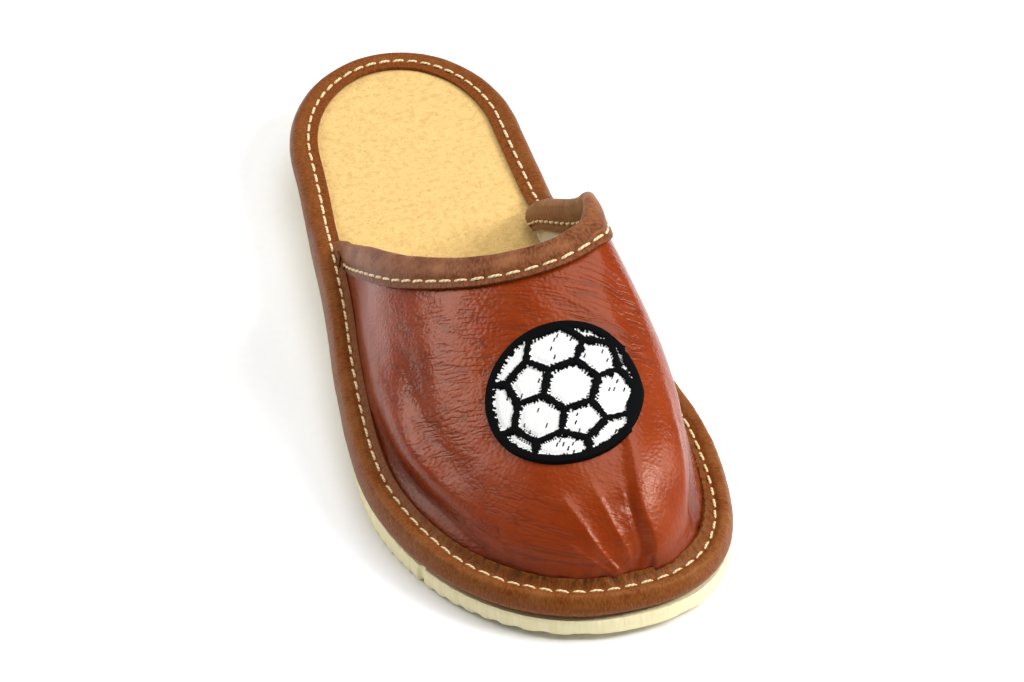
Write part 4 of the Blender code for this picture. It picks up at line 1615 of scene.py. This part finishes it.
u, v = np.meshgrid(np.linspace(-1, 1, MOTIF_STEPS + 1), np.linspace(-1, 1, MOTIF_STEPS + 1))
disc = np.stack([u * np.sqrt(1 - v**2 / 2), v * np.sqrt(1 - u**2 / 2)], axis=-1) * MOTIF_RADIUS
gap, along = line_distance(disc)
print("share of the disc that is black:", round(float((gap < 0).mean()), 2))

# %% Disc on the vamp
MOTIF_STATION = 211.8
MOTIF_ANGLE = math.radians(71.8)
THREAD_PITCH = 0.42
THREAD_SLANT = math.radians(72)
PARTING_LENGTH = 1.3
PARTING_SHARE = 0.02
motif_turn = float(turn_of(MOTIF_STATION))
_, up, _, _ = vamp_frame(np.array(MOTIF_ANGLE), np.array(motif_turn))
across = unit(np.array(right) - up * dot(np.array(right), up))
away = np.cross(up, across)
radius = np.maximum(np.linalg.norm(disc, axis=-1), 1e-4)
headings = (disc[..., :1] * across + disc[..., 1:] * away) / radius[..., None]
at = walk(np.full(radius.shape, MOTIF_ANGLE), np.full(radius.shape, motif_turn), headings, radius, steps=6)
face, ups = vamp_frame(*at)[:2]
print("middle of the motif in mm:", face[MOTIF_STEPS // 2, MOTIF_STEPS // 2].round(1))

# %% Relief of the embroidery
PANEL_FOOT = 0.35
PANEL_RISE = 0.30
LINE_CROWN = 0.75
LINE_BLEND = 0.25
PANEL_RUN = 1.6
THREAD_RIPPLE = 0.07
RIM_ROUND = 0.6
RIM_SINK = 0.5
MOTIF_LIFT = 0.15
white_coordinate = disc[..., 0] * math.sin(THREAD_SLANT) - disc[..., 1] * math.cos(THREAD_SLANT)
black = smoothstep(LINE_BLEND, -LINE_BLEND, gap)
half_line = LINE_WIDTH / 2
crown = np.sqrt(np.clip(1 - (np.clip(gap, -half_line, 0) / half_line + 1) ** 2, 0, 1))
panel = smoothstep(0.0, PANEL_RUN, gap)
height = PANEL_FOOT + PANEL_RISE * panel + black * LINE_CROWN * crown
ripple = THREAD_RIPPLE * np.sin(2 * math.pi * white_coordinate / (2 * THREAD_PITCH)) * panel
rim_drop = smoothstep(MOTIF_RADIUS - RIM_ROUND, MOTIF_RADIUS, np.linalg.norm(disc, axis=-1))
height = (height + ripple) * (1 - rim_drop) - RIM_SINK * rim_drop
sits = crease_push(face, -1) + crease_push(face, 1) + UNEVEN * noise_at(face, UNEVEN_SIZE)
print("motif height in mm up to", height.max().round(2))

# %% Black and white threads
RAGGED = 0.9
# Factors that set neighbouring threads far apart, and a large one that makes a share of what is left over
THREAD_FACTOR = 12.9898
PARTING_FACTOR = 78.233
SCATTER_FACTOR = 43758.5453


def scattered(value):
    """A share from 0 to 1 for each value, in no order that the eye can follow."""
    return np.modf(np.abs(np.sin(value) * SCATTER_FACTOR))[0]


motif = Sheet("ball_embroidery_thread", face + ups * (height + sits + MOTIF_LIFT)[..., None])
mesh = motif.piece.data
corner_index = np.empty(len(mesh.loops), np.int32)
mesh.loops.foreach_get("vertex_index", corner_index)
flat_disc = motif.pick(disc)
centre = flat_disc[corner_index.reshape(-1, 4)].mean(axis=1)
centre_gap, centre_along = line_distance(centre)
centre_white = centre[:, 0] * math.sin(THREAD_SLANT) - centre[:, 1] * math.cos(THREAD_SLANT)
ragged = scattered(np.floor(centre_along / THREAD_PITCH) * THREAD_FACTOR) - 0.5
parting = np.floor(centre_white / THREAD_PITCH) * THREAD_FACTOR
parting = parting + np.floor(centre[:, 1] / PARTING_LENGTH) * PARTING_FACTOR
parted = scattered(parting) > 1 - PARTING_SHARE
in_ring = np.linalg.norm(centre, axis=-1) > BALL_RADIUS
is_black = (centre_gap + RAGGED * ragged < 0) | in_ring | parted
print("black faces:", int(is_black.sum()), "of", len(is_black))

# %% Motif piece
tag = mesh.attributes.new("black", "FLOAT", "FACE")
tag.data.foreach_set("value", is_black.astype(np.float32))

# The UV map runs across the threads, so a face of a line and a face of a panel read it differently
corner_black = np.repeat(is_black, 4)
loop_white = motif.pick(white_coordinate)[corner_index]
loop_other = flat_disc[corner_index][:, 1]
uv = np.stack([np.where(corner_black, np.repeat(centre_along, 4), loop_white), loop_other], axis=-1) * MM
mesh.uv_layers[0].data.foreach_set("uv", uv.ravel())
motif.close(flip=True)
motif.shade(80.0)
print(motif.piece.name, "with threads", THREAD_PITCH, "mm apart")

# %% Embroidery thread
embroidery, shader = new_material("embroidery_rayon_thread", IOR=1.15, Roughness=0.75)
surface = add_node(embroidery, "UVMap", {}, uv_map="UVMap").outputs["UV"]
is_dark = add_node(embroidery, "Attribute", {}, attribute_name="black").outputs["Fac"]
# Threads of 0.42 mm lie side by side, and rayon gives them a silky, banded gloss. A wave texture turns
# through a whole band in 2 pi / 20 of its scale.
WAVE_UNIT = 2 * math.pi / 20
bands = add_node(
    embroidery,
    "TexWave",
    {"Vector": surface, "Scale": per_mm(THREAD_PITCH) * WAVE_UNIT, "Distortion": 1.0, "Detail": 1.0},
    bands_direction="X",
)
# Each thread is painted lighter on its crest and darker at its sides: painted sheen and painted shade
white = add_node(
    embroidery,
    "Mix",
    {MIX_SHARE: bands.outputs["Fac"], MIX_FROM: linear("#e4e4e1"), MIX_TO: linear("#fdfdfc")},
    data_type="RGBA",
)
dark = add_node(
    embroidery,
    "Mix",
    {MIX_SHARE: bands.outputs["Fac"], MIX_FROM: linear("#020203"), MIX_TO: linear("#08090b")},
    data_type="RGBA",
)
both = add_node(
    embroidery,
    "Mix",
    {MIX_SHARE: is_dark, MIX_FROM: white.outputs[MIXED], MIX_TO: dark.outputs[MIXED]},
    data_type="RGBA",
)
link(embroidery, both.outputs[MIXED], shader.inputs["Base Color"])
lie = add_node(embroidery, "Bump", {"Strength": 0.5, "Distance": 0.0003, "Height": bands.outputs["Fac"]})
link(embroidery, lie.outputs[0], shader.inputs["Normal"])
seat(motif.piece, embroidery, "ball_embroidery")

# %% [markdown]
# ## Floor and light
#
# The slipper stands on a plain white table under soft light. A wide box overhead fills the felt, a large
# one behind the outer side gives the broad gloss there, one on the inner side draws the highlight along
# the ridge, and a weak one low on that side lifts the wall. Area lights are used because their size sets
# how soft a highlight is, and a white world fills the shadows.

# %% Floor
FLOOR_SIZE = 8.0
FLOOR_DROP = 0.0001
bpy.ops.object.select_all(action="DESELECT")
bpy.ops.mesh.primitive_plane_add(size=FLOOR_SIZE, location=(0, 0, -FLOOR_DROP))
floor = bpy.context.active_object
floor.name = "floor"
paper, shader = new_material("floor_matt_paper", Roughness=0.9)
place = add_node(paper, "TexCoord", {}).outputs["Object"]
tooth = add_node(paper, "TexNoise", {"Vector": place, "Scale": per_mm(3.0)})
pale = add_node(
    paper,
    "Mix",
    {MIX_SHARE: tooth.outputs["Fac"], MIX_FROM: linear("#f6f6f6"), MIX_TO: linear("#fbfbfb")},
    data_type="RGBA",
)
link(paper, pale.outputs[MIXED], shader.inputs["Base Color"])
floor.data.materials.append(paper)
floor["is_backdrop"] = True
print(paper.name, len(paper.node_tree.nodes), "nodes")

# %% Lights
# Name, place in metres, width and height of the box in metres, power in watts
SOFTBOXES = (
    ("outer_box", (0.95, -0.74, 0.8), 0.8, 0.8, 8.5),
    ("inner_box", (-1.1, 0.2, 0.6), 0.5, 0.4, 3.5),
    ("ridge_box", (-0.88, 0.6, 0.92), 0.5, 0.45, 14.0),
    ("top_box", (-0.25, 0.0, 1.45), 1.4, 1.0, 14.0),
)
AMBIENT = 0.24
LIGHT_AIM = Vector((0, 0.05, 0.03))
for name, spot, width, height, power in SOFTBOXES:
    bpy.ops.object.select_all(action="DESELECT")
    bpy.ops.object.light_add(type="AREA", location=spot)
    box = bpy.context.active_object
    box.name = name
    box.data.shape = "RECTANGLE"
    box.data.size = width
    box.data.size_y = height
    box.data.energy = power
    box.rotation_euler = (LIGHT_AIM - Vector(spot)).to_track_quat("-Z", "Y").to_euler()
world = bpy.data.worlds.new("white_room")
bpy.context.scene.world = world
world.use_nodes = True
background = world.node_tree.nodes["Background"]
background.inputs["Color"].default_value = linear("#ffffff")
background.inputs["Strength"].default_value = AMBIENT
# The standard view shows each colour as it was picked
bpy.context.scene.view_settings.view_transform = "Standard"
print(len(SOFTBOXES), "soft boxes")

# %% [markdown]
# ## Size
#
# The box round the dressed slipper, without its hidden solids and the floor, is printed in millimetres.
# The dressed slipper may stand only a little proud of its solids.

# %% Finish
low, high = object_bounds()
print("visual size in mm:", [round((b - a) / MM, 1) for a, b in zip(low, high)])
